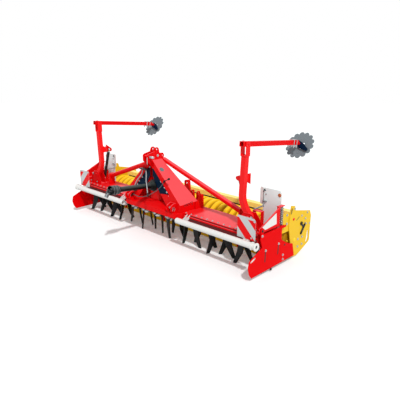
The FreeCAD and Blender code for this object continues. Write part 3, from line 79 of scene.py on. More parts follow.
import bmesh
import bpy
from bpy.props import FloatProperty, FloatVectorProperty, IntProperty, PointerProperty
from bpy.types import Operator, Panel, PropertyGroup
from mathutils import Matrix, Vector

X, Y, Z = Vector((1, 0, 0)), Vector((0, 1, 0)), Vector((0, 0, 1))
SIDES = (("left", 1), ("right", -1))

# All lengths are in metres.
HALF_WIDTH = 2.0       # of the machine, and the reach of the cover's painted sheen map
SHEEN_FLOOR = 0.12      # share of the painted sheen that stays where it is left out
STRIPE_START = 2.289   # sum of X and Z where a red stripe starts
RED_SHARE = 0.51       # of a pair of stripes
MARK = 0.0006          # thickness of slots, holes and other flat marks
BOARD = 0.282          # side of a warning board
LINK_PIN = 0.0189      # radius of the lower link pins
TOP_PIN = 0.0168       # radius of the top link pin
PIN_LINE = (-0.425, 0.593)   # Y and Z of the lower link pins
BAR_LINE = (-0.445, 0.439)   # Y and Z of the white front bars
MARKER_DROOP = 5.5     # degrees that a marker's arm hangs at its outer end
MARKER_HALF = 0.032    # half width of a marker's arm
RIM = 0.003            # rounding of bent strips
FLOOR_GLOW = 0.115     # the floor's own light towards the camera
ROOM_LIGHT = 0.60      # strength of the room's light on the machine


# ---- small helpers
def linear(code):
    """Linear colour of an sRGB hex value."""
    shades = [int(code[i:i + 2], 16) / 255 for i in (1, 3, 5)]
    return [s / 12.92 if s <= 0.04045 else ((s + 0.055) / 1.055) ** 2.4 for s in shades] + [1.0]


def add(tree, kind, inputs=(), **settings):
    """Adds one shader node. Inputs are values, outputs, or nodes that stand for their first output."""
    made = tree.nodes.new("ShaderNode" + kind)
    for name, value in settings.items():
        setattr(made, name, value)
    for name, value in dict(inputs).items():
        if isinstance(value, bpy.types.Node):
            value = value.outputs[0]
        if isinstance(value, bpy.types.NodeSocket):
            tree.links.new(value, made.inputs[name])
        else:
            made.inputs[name].default_value = value
    return made


def joint(name):
    """Place and direction of a joint of the frame."""
    found = next(j for j in frame["joints"] if j["name"] == name)
    return Vector(found.get("pos_m", (0, 0, 0))), Vector(found["axis"]).normalized()


def node_slots():
    """Material slot of each node of the frame."""
    return {part["node"]: part["material_slot"] for part in frame["record"]["subparts"]}


def aim(at, way):
    """Matrix that puts local Z along way, at a point."""
    return Matrix.Translation(at) @ Vector(way).to_track_quat("Z", "Y").to_matrix().to_4x4()


def tidy_normals(bm):
    """Joins vertices that coincide, and turns all faces outwards."""
    bmesh.ops.remove_doubles(bm, verts=bm.verts, dist=1e-6)
    bmesh.ops.recalc_face_normals(bm, faces=bm.faces)


def put(name, data, way=None, at=(0, 0, 0)):
    """Links a new object to the scene; where way is given, its -Z looks along way."""
    made = bpy.data.objects.new(name, data)
    made.location = at
    if way is not None:
        made.rotation_mode = "QUATERNION"
        made.rotation_quaternion = Vector(way).to_track_quat("-Z", "Y")
    bpy.context.scene.collection.objects.link(made)
    return made


def new_mesh(name, bm):
    """Turns a bmesh into a mesh and frees it."""
    mesh = bpy.data.meshes.new(name)
    bm.to_mesh(mesh)
    bm.free()
    return mesh


def new_piece(name, bm, finish, body="frame", soft=32.0, joined=True, stands_for=None):
    """Makes an object of a bmesh, smooth between creases of soft degrees, that rides on a body.

    joined tidies the mesh first; stands_for is the node whose solid it takes the place of."""
    if joined:
        tidy_normals(bm)
    for face in bm.faces:
        face.smooth = True
    mesh = new_mesh(name, bm)
    mesh.set_sharp_from_angle(angle=radians(soft))
    mesh.materials.append(FINISH[finish])
    piece = put(name, mesh)
    piece.modifiers.new("Even shading", "WEIGHTED_NORMAL").keep_sharp = True
    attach(piece, body)
    if stands_for is not None:
        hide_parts(stands_for)


def new_pieces(body, *rows):
    """Makes a piece of each row: bmesh, name, finish."""
    for bm, name, finish in rows:
        new_piece(name, bm, finish, body)


def round_bar(bm, start, end, radius, segments=24, end_radius=None):
    """Closed round bar from start to end."""
    start, end = Vector(start), Vector(end)
    way = end - start
    made = bmesh.ops.create_cone(
        bm, cap_ends=True, segments=segments, radius1=radius,
        radius2=radius if end_radius is None else end_radius,
        depth=way.length, matrix=aim((start + end) / 2, way))
    return made["verts"]


def block(bm, low, high):
    """Box between two corners."""
    low, high = Vector(low), Vector(high)
    matrix = Matrix.Translation((low + high) / 2) @ Matrix.Diagonal((*[abs(s) for s in high - low], 1))
    return bmesh.ops.create_cube(bm, size=1.0, matrix=matrix)["verts"]


def round_edges(bm, edges, width, segments=2):
    """Rounds the given edges."""
    bmesh.ops.bevel(bm, geom=edges, offset=width, segments=segments, affect="EDGES", profile=0.5,
                    material=-1, clamp_overlap=True)


def soften(bm, verts, width, segments=2):
    """Rounds the edges between the given vertices."""
    edges = {e for v in verts for e in v.link_edges}
    sharp = [e for e in edges if len(e.link_faces) == 2 and e.calc_face_angle() > radians(25)]
    round_edges(bm, sharp, width, segments)


def lathe(bm, start, way, profile, segments=48):
    """Spins (distance, radius) points about the line from start along way."""
    start, way = Vector(start), Vector(way).normalized()
    side = way.orthogonal().normalized()
    verts = [bm.verts.new(start + way * along + side * radius) for along, radius in profile]
    edges = [bm.edges.new(pair) for pair in zip(verts, verts[1:])]
    bmesh.ops.spin(bm, geom=verts + edges, cent=start, axis=way, angle=2 * pi, steps=segments,
                   use_merge=True)


def bolt(bm, at, way, size):
    """Hexagon head on a washer, with a short rounded end."""
    at, way = Vector(at), Vector(way).normalized()
    washer, head, tip = (at + way * size * share for share in (0.22, 0.95, 1.15))
    round_bar(bm, at, washer, size * 1.5, 14)
    round_bar(bm, washer, head, size, 6)
    round_bar(bm, head, tip, size * 0.75, 8, size * 0.45)


def strap(bm, start, end, way, wide, thick, round_ends=True):
    """Flat bar from start to end, lying on the face that way points out of."""
    start, end, way = Vector(start), Vector(end), Vector(way).normalized()
    along = (end - start).normalized()
    turn = Matrix((along, way.cross(along), way)).transposed().to_4x4()
    matrix = Matrix.Translation((start + end) / 2 + way * thick / 2) @ turn
    bmesh.ops.create_cube(
        bm, size=1.0, matrix=matrix @ Matrix.Diagonal(((end - start).length, wide, thick, 1)))
    if round_ends:
        for at in (start, end):
            round_bar(bm, at, at + way * thick, wide / 2, 16)


def side_straps(bm, sign, x, *rows):
    """Straps on a face that looks sideways: first Y and Z, last Y and Z, width, thickness."""
    for y, z, last_y, last_z, wide, thick in rows:
        strap(bm, (sign * x, y, z), (sign * x, last_y, last_z), X * sign, wide, thick)


def side_bolts(bm, sign, x, size, *places):
    """Bolts on a face that looks sideways, each at its Y and Z."""
    for y, z in places:
        bolt(bm, (sign * x, y, z), X * sign, size)


def side_bar(bm, sign, x, long, place, *form):
    """Round bar that stands out sideways from X by its length, at a Y and Z."""
    round_bar(bm, (sign * x, *place), (sign * (x + long), *place), *form)


def thicken(bm, faces, move):
    """Gives flat faces a thickness along move."""
    made = bmesh.ops.extrude_face_region(bm, geom=faces)
    top = [v for v in made["geom"] if isinstance(v, bmesh.types.BMVert)]
    bmesh.ops.translate(bm, verts=top, vec=move)


def foil(bm, corners, way, thick, rounding=0.006):
    """Thin plate with the given corners, rounded, lying on the face that way points out of."""
    way = Vector(way).normalized()
    face = bm.faces.new([bm.verts.new(at) for at in corners])
    face.normal_update()
    if face.normal.dot(way) < 0:
        face.normal_flip()
    thicken(bm, [face], way * thick)
    lit_posts = [e for e in bm.edges
             if abs((e.verts[0].co - e.verts[1].co).normalized().dot(way)) > 0.99]
    round_edges(bm, lit_posts, rounding, 3)
    bmesh.ops.recalc_face_normals(bm, faces=bm.faces)


def ring(bm, centre, way, radius, wire, segments=20):
    """Closed ring of round wire."""
    side = Vector(way).normalized().orthogonal().normalized()
    start = bmesh.ops.create_circle(
        bm, cap_ends=False, segments=8, radius=wire,
        matrix=aim(Vector(centre) + side * radius, Vector(way).cross(side)))
    edges = list({e for v in start["verts"] for e in v.link_edges})
    bmesh.ops.spin(bm, geom=start["verts"] + edges, cent=centre, axis=way, angle=2 * pi,
                   steps=segments, use_merge=True)


# ---- what a user may change
ColourProperty = partial(FloatVectorProperty, subtype="COLOR", size=4, min=0, max=1)
LengthProperty = partial(FloatProperty, unit="LENGTH")


class HarrowLooks(PropertyGroup):
    red: ColourProperty(name="Red enamel", description="Colour of the frame, plates and markers",
        default=linear("#DF060A"))
    yellow: ColourProperty(name="Yellow enamel", description="Colour of the packer roller and its frame",
        default=linear("#FACB20"))
    navy: ColourProperty(name="Dark blue enamel", description="Colour of the plates beside the mast",
        default=linear("#021A31"))
    white: ColourProperty(name="White enamel", description="Colour of the bars in front of the rotors",
        default=linear("#DEDEDB"))
    black: ColourProperty(name="Black enamel", description="Colour of the rams and levers",
        default=linear("#0C0D0F"))
    disc_grey: ColourProperty(name="Disc grey", description="Colour of the marking discs",
        default=linear("#737B80"))
    stripe_red: ColourProperty(name="Stripe red", description="Red of the reflecting sheet",
        default=linear("#E4080C"))


class HarrowSizes(PropertyGroup):
    edge: LengthProperty(name="Edge rounding", description="Radius at the edges of cut and folded plates",
        default=0.0025, min=0.0, max=0.01)
    bolt: LengthProperty(name="Bolt head", description="Half width of an M16 head over its corners",
        default=0.0135, min=0.004, max=0.03)
    ring_count: IntProperty(name="Packer rings", description="Rings side by side on the roller",
        default=31, min=4, max=60)
    ring_crown: FloatProperty(name="Ring crown",
        description="Flat crown of a ring as a share of the pitch", default=0.38, min=0.1, max=0.9,
        subtype="FACTOR")
    ring_foot: FloatProperty(name="Ring foot",
        description="Width of a ring at the tube as a share of the pitch", default=0.78, min=0.2, max=1.0,
        subtype="FACTOR")
    roller_tube: LengthProperty(name="Roller tube",
        description="Radius of the tube that carries the rings", default=0.212, min=0.05, max=0.24)
    spring_wire: LengthProperty(name="Spring wire", description="Radius of the side springs' wire",
        default=0.0055, min=0.002, max=0.01)
    spring_turns: IntProperty(name="Spring turns", description="Turns of a side spring", default=9, min=3,
        max=20)
    disc_teeth: IntProperty(name="Disc teeth", description="Teeth round a marking disc", default=14,
        min=6, max=30)
    stripe: LengthProperty(name="Stripe width",
        description="Width of a red or white stripe on the boards", default=0.0985, min=0.02, max=0.2)


# ---- finishes
def noise(tree, place, scale, detail, rough=0.5):
    """Noise texture over the given coordinates."""
    return add(tree, "TexNoise", {"Vector": place, "Scale": scale, "Detail": detail, "Roughness": rough})


def ranged(tree, value, to_low, to_high, low=0.0, high=1.0):
    """Moves a value from the range low to high over to another range."""
    return add(tree, "MapRange", {"Value": value, "From Min": low, "From Max": high,
                                  "To Min": to_low, "To Max": to_high})


def reckon(tree, operation, *terms):
    """Math node on its terms."""
    return add(tree, "Math", dict(enumerate(terms)), operation=operation)


def mixed(tree, share, first, second):
    """Colour between two colours."""
    made = add(tree, "Mix", {"Factor": share, 6: first, 7: second}, data_type="RGBA")
    return made.outputs[2]


def ramp(tree, value, low, high, low_at=0.0, high_at=1.0):
    """Colour that goes from one hex value to another over a value."""
    made = add(tree, "ValToRGB", {"Fac": value})
    for stop, at, code in zip(made.color_ramp.elements, (low_at, high_at), (low, high)):
        stop.position, stop.color = at, linear(code)
    return made


def parts(tree, vector):
    """The X, Y and Z outputs of a vector."""
    return add(tree, "SeparateXYZ", {"Vector": vector}).outputs


def empty_tree(owner):
    """Node tree of a material or world, without the nodes that come with it."""
    owner.use_nodes = True
    owner.node_tree.nodes.clear()
    return owner.node_tree


def blank_material(name):
    """New material, its empty node tree, and the outputs with Object coordinates and normals."""
    material = bpy.data.materials.new(name)
    tree = empty_tree(material)
    where = add(tree, "TexCoord")
    return material, tree, where.outputs["Object"], where.outputs["Normal"]


def close_surface(tree, colour, relief, strength, height, inputs):
    """Ends a material with its shader; relief is the height map of the bump."""
    bump = add(tree, "Bump", {"Strength": strength, "Distance": height, "Height": relief})
    shader = add(tree, "BsdfPrincipled", {**inputs, "Base Color": colour, "Normal": bump})
    add(tree, "OutputMaterial", {"Surface": shader})


def open_stretches(tree, place, stops):
    """Share of the painted sheen along X: 1 between the stops that switch it on and off, the floor share
    elsewhere.
    """
    along = ranged(tree, parts(tree, place)["X"], 0.0, 1.0, -HALF_WIDTH, HALF_WIDTH)
    spread = add(tree, "ValToRGB", {"Fac": along})
    elements = spread.color_ramp.elements
    elements.remove(elements[1])
    elements[0].color = (SHEEN_FLOOR, SHEEN_FLOOR, SHEEN_FLOOR, 1)
    for at, on in stops:
        level = max(SHEEN_FLOOR, on)
        elements.new((at + HALF_WIDTH) / (2 * HALF_WIDTH)).color = (level, level, level, 1)
    return spread


def paint_finish(name, colour, roughness, coat, drift=0.06, glint=0.1, painted_sheen=None, groove_shade=None,
        sheen_stops=None):
    """Powder-coated sheet steel: even colour, a clear gloss over a faint orange peel.

    Faces that look up may take a paler tone, a painted sheen for what the gloss mirrors of a bright room; stops
    say where along X it is off (0) and on (1);
    a drum's grooves may be drawn darker as painted shade, given by middle, inner radius, outer radius and tone."""
    material, tree, place, normal = blank_material(name)
    # The tone drifts over some 400 mm.
    cloud = noise(tree, place, 2.5, 4.0)
    tone = ranged(tree, cloud, 1 - drift, 1 + drift)
    shade = add(tree, "HueSaturation", {"Color": colour, "Value": tone})
    if painted_sheen is not None:
        # Painted sheen: the paler tone of level faces stands for what glossy level sheet mirrors of a bright
        # room.
        lying = ranged(tree, parts(tree, normal)["Z"], 0.0, 0.85, 0.45, 0.72)
        if sheen_stops is not None:
            # Beside the feet of headstock and markers the sheet mirrors them instead, so the painted sheen is
            # left out there and the red stands as their painted reflection.
            lying = reckon(tree, "MULTIPLY", lying, open_stretches(tree, place, sheen_stops))
        shade = mixed(tree, lying, shade, painted_sheen)
    if groove_shade is not None:
        # Painted shade: between the rings the grooves are drawn darker, up to some 20 mm below the crowns.
        middle, inner, outer, painted_groove_tone = groove_shade
        split = parts(tree, place)
        plane = add(tree, "CombineXYZ", {"Y": split["Y"], "Z": split["Z"]})
        reach = add(tree, "VectorMath", {0: plane, 1: (0, middle.y, middle.z)}, operation="DISTANCE")
        share = ranged(tree, reach.outputs["Value"], 0.0, 1.0, inner, outer)
        shade = mixed(tree, share, painted_groove_tone, shade)
    # The peel of a powder coat is about 2 mm from crest to crest; it is drawn at 8 mm so that it shows.
    fine = noise(tree, place, 120.0, 2.0)
    rough = ranged(tree, cloud, roughness - 0.06, roughness + 0.08)
    close_surface(tree, shade, fine, 0.06, 0.001, {
        "Coat Weight": coat, "Coat Roughness": 0.12, "Specular IOR Level": glint, "Roughness": rough})
    return material


def metal_finish(name, code, roughness, dark, grain=90.0):
    """Bare or plated steel: metallic, with duller blotches that the plating bath or handling left."""
    material, tree, place, _ = blank_material(name)
    blotch = noise(tree, place, grain, 4.0, 0.6)
    rough = ranged(tree, blotch, roughness + 0.12, roughness - 0.05)
    close_surface(tree, ramp(tree, blotch, dark, code, 0.30, 0.62), blotch, 0.15, 0.0006,
                  {"Metallic": 1.0, "Roughness": rough})
    return material


def tine_finish():
    """Forged knife tines, dipped black below their bright cast holders."""
    material, tree, place, _ = blank_material("dipped_forging_and_bright_holder")
    # Holder and flange sit above 292 mm; the edge between the two finishes is 4 mm wide.
    share = ranged(tree, parts(tree, place)["Z"], 0.0, 1.0, 0.290, 0.294)
    # Hammer scale, 6 mm across.
    scale = noise(tree, place, 160.0, 3.0)
    dark, bright = ramp(tree, scale, "#060607", "#17181A"), ramp(tree, scale, "#8D9196", "#C9CCCF")
    close_surface(tree, mixed(tree, share, dark, bright), scale, 0.35, 0.001, {
        "Roughness": 0.42, "Specular IOR Level": 0.25, "Metallic": ranged(tree, share, 0.0, 0.85)})
    return material


def board_finish(name, red, stripe, facing, top, dull, pale):
    """Warning board: a striped reflecting sheet under a plain band on one face, else pale steel."""
    material, tree, place, normal = blank_material(name)
    split = parts(tree, place)
    # The stripes lean the same way on both sides of the machine, so they are laid out from its middle.
    total = reckon(tree, "ADD", reckon(tree, "ABSOLUTE", split["X"]), split["Z"])
    turns = reckon(tree, "DIVIDE", reckon(tree, "SUBTRACT", total, STRIPE_START), 2 * stripe * sqrt(2))
    band = reckon(tree, "LESS_THAN", reckon(tree, "FRACT", turns), RED_SHARE)
    striped = reckon(tree, "MULTIPLY", band, reckon(tree, "LESS_THAN", split["Z"], top))
    sheet = reckon(tree, "GREATER_THAN", reckon(tree, "MULTIPLY", parts(tree, normal)["Y"], facing), 0.8)
    shown = reckon(tree, "MULTIPLY", striped, sheet)
    # Glass beads in the sheet sit in cells of about 3 mm, drawn at 6 mm.
    cells = add(tree, "TexVoronoi", {"Vector": place, "Scale": 160.0})
    steel = mixed(tree, noise(tree, place, 6.0, 3.0), linear(dull), linear(pale))
    close_surface(tree, mixed(tree, shown, steel, red), cells, 0.08, 0.0006, {
        "Roughness": 0.42, "Coat Weight": 0.02, "Coat Roughness": 0.2, "Specular IOR Level": 0.1})
    return material


def plain_finish(name, code, roughness, grain, height, coat=0.0, ior=1.5, glint=0.5, painted_top_highlight=None):
    """Moulded plastic or rubber: one colour, with the mould's fine grain.

    A tone may be given for what looks up: a painted highlight that makes the part paler on top."""
    material, tree, place, normal = blank_material(name)
    fine = noise(tree, place, grain, 2.0)
    shade = add(tree, "HueSaturation", {"Color": linear(code), "Value": ranged(tree, fine, 0.85, 1.15)})
    if painted_top_highlight is not None:
        # Painted highlight: the more a face looks up, the paler it is drawn.
        lying = ranged(tree, parts(tree, normal)["Z"], 0.0, 1.0, -0.1, 1.0)
        shade = mixed(tree, lying, shade, linear(painted_top_highlight))
    close_surface(tree, shade, fine, 0.2, height, {
        "Roughness": roughness, "Coat Weight": coat, "IOR": ior, "Specular IOR Level": glint})
    return material


def sleeve_finish():
    """Woven guard sleeve over a hose: light and dark strands that cross."""
    material, tree, place, _ = blank_material("woven_hose_sleeve")
    # Strands of 2 mm, drawn at 4 mm so that they show.
    weave = add(tree, "TexChecker", {"Vector": place, "Scale": 250.0})
    tint = mixed(tree, noise(tree, place, 40.0, 3.0), linear("#7E8385"), linear("#B9BDBF"))
    close_surface(tree, tint, weave.outputs["Fac"], 0.4, 0.0006, {"Roughness": 0.6})
    return material


FINISH = {}


def make_finishes():
    """Makes every material, named by slot, or by node where a node has its own."""
    looks, sizes = bpy.context.scene.harrow_looks, bpy.context.scene.harrow_sizes
    band = 0.028
    red = {"roughness": 0.34, "coat": 0.02, "drift": 0.03}
    yellow = {"roughness": 0.38, "coat": 0.04, "drift": 0.04}
    painted_sheen = linear("#F0585E")
    # The posts take a lighter red than the frame, painted light.
    lit_posts = paint_finish("red_powder_coat_of_the_posts_with_painted_light", linear("#F01A1C"), glint=0.1, **red)
    FINISH.update({
        # Thick gloss powder coat; on level faces a painted sheen fades the red to pink.
        "red_paint": paint_finish("red_powder_coat", looks.red, glint=0.05, painted_sheen=painted_sheen, **red),
        "deck": paint_finish(
            "red_powder_coat_of_the_cover", looks.red, glint=0.05, painted_sheen=painted_sheen, **red,
            sheen_stops=((-1.32, 0), (-1.26, 1), (-0.56, 1), (-0.52, 0), (0.79, 0), (0.82, 1))),
        "apron": paint_finish("red_powder_coat_of_the_ramp", looks.red, glint=0.05, **red),
        "marker_post_left": lit_posts,
        "marker_post_right": lit_posts,
        # The side plates take a darker red than the frame, painted shade.
        "side_plates": paint_finish(
            "red_powder_coat_of_the_sides_with_painted_shade", linear("#DB0307"), 0.36, 0.0, drift=0.02, glint=0.02),
        # The yellow's level faces take a paler tone, a painted sheen.
        "yellow_paint": paint_finish("yellow_powder_coat", looks.yellow, painted_sheen=linear("#FBDD6C"), **yellow),
        # The cheeks take a darker yellow than the roller frame, painted shade.
        "roller_cheeks": paint_finish("yellow_powder_coat_of_the_cheeks_with_painted_shade", linear("#E4B91E"), **yellow),
        # The drum's grooves are drawn darker, painted shade between the rings.
        "drum_paint": paint_finish(
            "worn_yellow_powder_coat_with_painted_shade_between_rings", looks.yellow, 0.42, 0.04, drift=0.1,
            groove_shade=(joint("roller_spin")[0], 0.224, 0.256, linear("#B07F0C"))),
        # The beam takes a paler yellow than the roller frame, painted light.
        "scraper_beam": paint_finish("yellow_powder_coat_with_painted_light", linear("#FFE680"), **yellow),
        "navy_paint": paint_finish("dark_blue_powder_coat", looks.navy, 0.45, 0.0, glint=0.05),
        "white_paint": paint_finish("white_powder_coat", looks.white, 0.35, 0.1, drift=0.03),
        "black_paint": paint_finish("black_powder_coat", looks.black, 0.40, 0.1, glint=0.3),
        "grey_disc": paint_finish("grey_dipped_steel", looks.disc_grey, 0.5, 0.1),
        # The front boards' steel is drawn darker grey, painted shade; the rear boards' steel is tinted cyan,
        # painted light that cancels the red light thrown on it.
        "front_boards": board_finish(
            "front_warning_sheet", looks.stripe_red, sizes.stripe, -1,
            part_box("front_boards")[1].z - band, "#B9BCBC", "#C8CBCB"),
        "rear_boards": board_finish(
            "rear_warning_sheet", looks.stripe_red, sizes.stripe, 1,
            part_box("rear_boards")[1].z - band, "#E2F5F4", "#EDFBFA"),
        # Zinc plating: bright with a soft blur.
        "zinc": metal_finish("zinc_plated_steel", "#D3D5D6", 0.34, "#9EA1A4"),
        # Drop-forged steel with its scale brushed off.
        "forged_steel": metal_finish("brushed_forging", "#B9BCBE", 0.42, "#6E7174", 60.0),
        "pto_yoke": metal_finish("oiled_forging", "#85888A", 0.45, "#26282A", 60.0),
        "hose_coupler": metal_finish("blackened_steel", "#4C4E50", 0.4, "#1B1C1E", 60.0),
        # Hard drawn wire under clear lacquer.
        "spring_steel": metal_finish("drawn_spring_wire", "#A9ABAD", 0.3, "#707376", 120.0),
        # Ground and plated rod, close to a mirror.
        "chrome_rod": metal_finish("hard_chrome_plate", "#E2E4E6", 0.12, "#C2C5C8", 40.0),
        "tine_steel": tine_finish(),
        # Polyethylene shaft guard, moulded matt, drawn paler on top as a painted highlight.
        "black_plastic": plain_finish(
            "moulded_polyethylene", "#070808", 0.34, 220.0, 0.0006, glint=0.18, painted_top_highlight="#4A514F"),
        # Light grey rings on the bell's rims are painted highlights.
        "bell_rim_highlights": plain_finish("polyethylene_painted_highlight", "#6C7271", 0.5, 220.0, 0.0004),
        "hose_rubber": sleeve_finish(),
        "cable_grey": plain_finish("grey_cable_sheath", "#4A4C4D", 0.5, 300.0, 0.0004),
        # Dark red for the trough's front under the lips: painted shade.
        "painted_shade_red": plain_finish("dark_red_as_painted_shade", "#6B0507", 0.7, 200.0, 0.0003),
        # Black for the board hooks, and for slots, holes, open ends and shadow lines that are painted shade.
        "black_and_painted_shade": plain_finish("black_and_painted_shade", "#0C0D0E", 0.7, 200.0, 0.0003),
        "amber": plain_finish(
            "amber_reflector_acrylic", "#B4560F", 0.12, 160.0, 0.0008, coat=0.6, ior=1.49),
        "label_white": plain_finish("blank_white_foil", "#DCDCD8", 0.4, 200.0, 0.0002),
        "label_grey": plain_finish("blank_grey_badge", "#56676B", 0.3, 200.0, 0.0002, coat=0.2),
    })


# ---- plates, tubes and castings of the frame
PLATE_NODES = ("trough", "deck", "apron", "legs", "link_brackets", "apex", "braces", "inner_guards",
    "rear_lugs", "gearbox", "side_plates", "spring_brackets", "marker_bases", "end_boxes", "front_bars",
    "front_boards", "rear_boards", "roller_cheeks", "scraper_beam", "scrapers", "pto_yoke",
    "marker_post_left", "marker_post_right", "marker_arm_left", "marker_arm_right", "marker_hub_left",
    "marker_hub_right", "board_clamps", "hose_holders", "lever", "hose_coupler")


def finish_node(node, finish, radius, proud=0.0):
    """Stands for a CAD node with the same shape, its edges rounded and its round faces smooth.

    proud lets the skin stand out from the solid, though not below the ground."""
    source = frame["nodes"][node]
    bm = bmesh.new()
    bm.from_mesh(source.data)
    bmesh.ops.remove_doubles(bm, verts=bm.verts, dist=2e-5)
    bmesh.ops.dissolve_limit(bm, angle_limit=radians(1.0), verts=bm.verts, edges=bm.edges)
    if radius > 0:
        long = [e for e in bm.edges if len(e.link_faces) == 2 and e.calc_length() > 4 * radius
            and e.calc_face_angle() > radians(35)]
        round_edges(bm, long, radius)
    if proud > 0:
        bm.normal_update()
        for vert, way in [(v, v.normal.copy()) for v in bm.verts]:
            vert.co += way * proud
            vert.co.z = max(vert.co.z, 0.0)
    new_piece(node + "_finished", bm, finish, source["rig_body"], joined=False, stands_for=node)


class HARROW_OT_plates(Operator):
    """Finish the plates, tubes and castings that keep the frame's shape"""
    bl_idname = "harrow.plates"
    bl_label = "Plates and tubes"

    def execute(self, context):
        edge = context.scene.harrow_sizes.edge
        slots = node_slots()
        for node in PLATE_NODES:
            # The braces' tubes are a size up from the plain solids.
            proud = 0.007 if node == "braces" else 0.0
            finish_node(node, node if node in FINISH else slots[node], edge, proud)
        return {"FINISHED"}


class HARROW_OT_rotors(Operator):
    """Finish the rotors with their holders and trailing knife tines"""
    bl_idname = "harrow.rotors"
    bl_label = "Rotors and tines"

    def execute(self, context):
        for node in sorted(frame["nodes"]):
            if node.startswith("rotor_"):
                # The forgings stand a little proud of the plain blades.
                finish_node(node, "tine_steel", 0.0015, 0.0032)
                at, _ = joint("rotor_spin_" + node[-2:])
                bm = bmesh.new()
                lathe(bm, Vector((at.x, at.y, 0.256)), Z, [(0.0, 0.0), (0.0, 0.056), (0.004, 0.062),
                    (0.030, 0.066), (0.036, 0.066), (0.036, 0.0)], 20)
                new_piece("holder_" + node[-2:], bm, "zinc", node)
        return {"FINISHED"}


# ---- packer roller
class HARROW_OT_roller(Operator):
    """Turn the packer roller: ring after ring on a closed tube, with stub axles"""
    bl_idname = "harrow.roller"
    bl_label = "Packer roller"

    def execute(self, context):
        sizes = context.scene.harrow_sizes
        low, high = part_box("packer_roller")
        centre, _ = joint("roller_spin")
        crown = (high.z - low.z) / 2
        # Worked out from the scrapers' box; 15.5 mm short of the solid drum's half length.
        blade, reach = 0.015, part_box("scrapers")[1].x
        half = reach + (reach * 2 - 2 * blade) / (2 * (sizes.ring_count - 1)) - blade
        pitch = 2 * half / sizes.ring_count
        tube = sizes.roller_tube
        profile = [(0.0, 0.0), (0.0, tube - 0.004), (0.004, tube)]
        for index in range(sizes.ring_count):
            middle = (index + 0.5) * pitch
            foot, top = sizes.ring_foot * pitch / 2, sizes.ring_crown * pitch / 2
            profile += [(middle - foot, tube), (middle - top - 0.003, crown - 0.005),
                (middle - top, crown), (middle + top, crown), (middle + top + 0.003, crown - 0.005),
                (middle + foot, tube)]
        profile += [(2 * half - 0.004, tube), (2 * half, tube - 0.004), (2 * half, 0.0)]
        bm = bmesh.new()
        lathe(bm, Vector((-half, centre.y, centre.z)), X, profile, 72)
        new_piece("packer_drum", bm, "drum_paint", "roller", soft=25, stands_for="packer_roller")
        bm = bmesh.new()
        for sign in (-1, 1):
            at, stub, end = (Vector((sign * x, centre.y, centre.z))
                for x in (half, high.x - 0.004, high.x))
            out = X * sign
            round_bar(bm, at - out * 0.002, at + out * 0.008, 0.075, 32)
            round_bar(bm, at, stub, 0.030, 28)
            round_bar(bm, stub, end, 0.026, 28, 0.022)
            bolts, circle = 6, 0.11
            for index in range(bolts):
                turn = Matrix.Rotation(index * 2 * pi / bolts, 4, "X")
                bolt(bm, at + turn @ Vector((0, circle, 0)), out, 0.010)
        new_piece("roller_axles", bm, "yellow_paint", "roller", joined=False)
        return {"FINISHED"}


# ---- springs, rams, discs, shaft
class HARROW_OT_springs(Operator):
    """Wind the coil springs that press the side plates down"""
    bl_idname = "harrow.springs"
    bl_label = "Side springs"

    def execute(self, context):
        sizes = context.scene.harrow_sizes
        low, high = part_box("side_springs")
        wire, turns, per_turn = sizes.spring_wire, sizes.spring_turns, 28
        radius, rise = (high.y - low.y) / 2, high.z - low.z
        bm = bmesh.new()
        for sign in (-1, 1):
            centre = Vector((sign * (high.x - radius), (low.y + high.y) / 2, low.z))
            start = bmesh.ops.create_circle(bm, cap_ends=False, segments=10, radius=wire,
                matrix=aim(centre + X * (radius - wire) + Z * wire, Y))
            edges = list({e for v in start["verts"] for e in v.link_edges})
            bmesh.ops.contextual_create(bm, geom=edges)
            steps = turns * per_turn
            bmesh.ops.spin(bm, geom=start["verts"] + edges, cent=centre, axis=Z,
                dvec=Z * (rise - 2 * wire) / steps, angle=2 * pi * turns, steps=steps)
            round_bar(bm, centre, centre + Z * rise, 0.009, 16)
        new_piece("side_coils", bm, "spring_steel", soft=60, stands_for="side_springs")
        return {"FINISHED"}


class HARROW_OT_rams(Operator):
    """Turn the folding rams of the track markers"""
    bl_idname = "harrow.rams"
    bl_label = "Folding rams"

    def execute(self, context):
        for side, sign in SIDES:
            foot, _ = joint("ram_swing_" + side)
            _, way = joint("ram_stroke_" + side)
            eye_wide = 0.022
            eye_reach = (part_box("ram_rod_" + side)[1].z - eye_wide - foot.z) / way.z
            barrel_end, wide = eye_reach - 0.044, 0.024
            bm = bmesh.new()
            lathe(bm, foot, way, [(0.020, 0.0), (0.020, wide - 0.004), (0.026, wide),
                (barrel_end - 0.030, wide), (barrel_end - 0.030, wide - 0.002),
                (barrel_end - 0.026, wide - 0.002), (barrel_end - 0.026, wide), (barrel_end, wide),
                (barrel_end, 0.012)], 32)
            round_bar(bm, foot - Y * 0.014, foot + Y * 0.014, 0.024, 28)
            for along in (0.060, barrel_end - 0.060):
                at = foot + way * along
                round_bar(bm, at, at - X * sign * 0.020 - Y * 0.014, 0.009, 12)
            barrel, rod = "ram_barrel_" + side, "ram_rod_" + side
            new_piece("ram_tube_" + side, bm, "black_paint", barrel, stands_for=barrel)
            bm = bmesh.new()
            round_bar(bm, foot + way * 0.090, foot + way * (eye_reach - 0.015), 0.011, 28)
            eye = foot + way * eye_reach
            round_bar(bm, eye - Y * 0.012, eye + Y * 0.012, eye_wide, 28)
            round_bar(bm, foot + way * (eye_reach - 0.040), foot + way * (eye_reach - 0.018), 0.015, 6)
            new_piece("ram_chrome_" + side, bm, "chrome_rod", rod, joined=False, stands_for=rod)
        return {"FINISHED"}


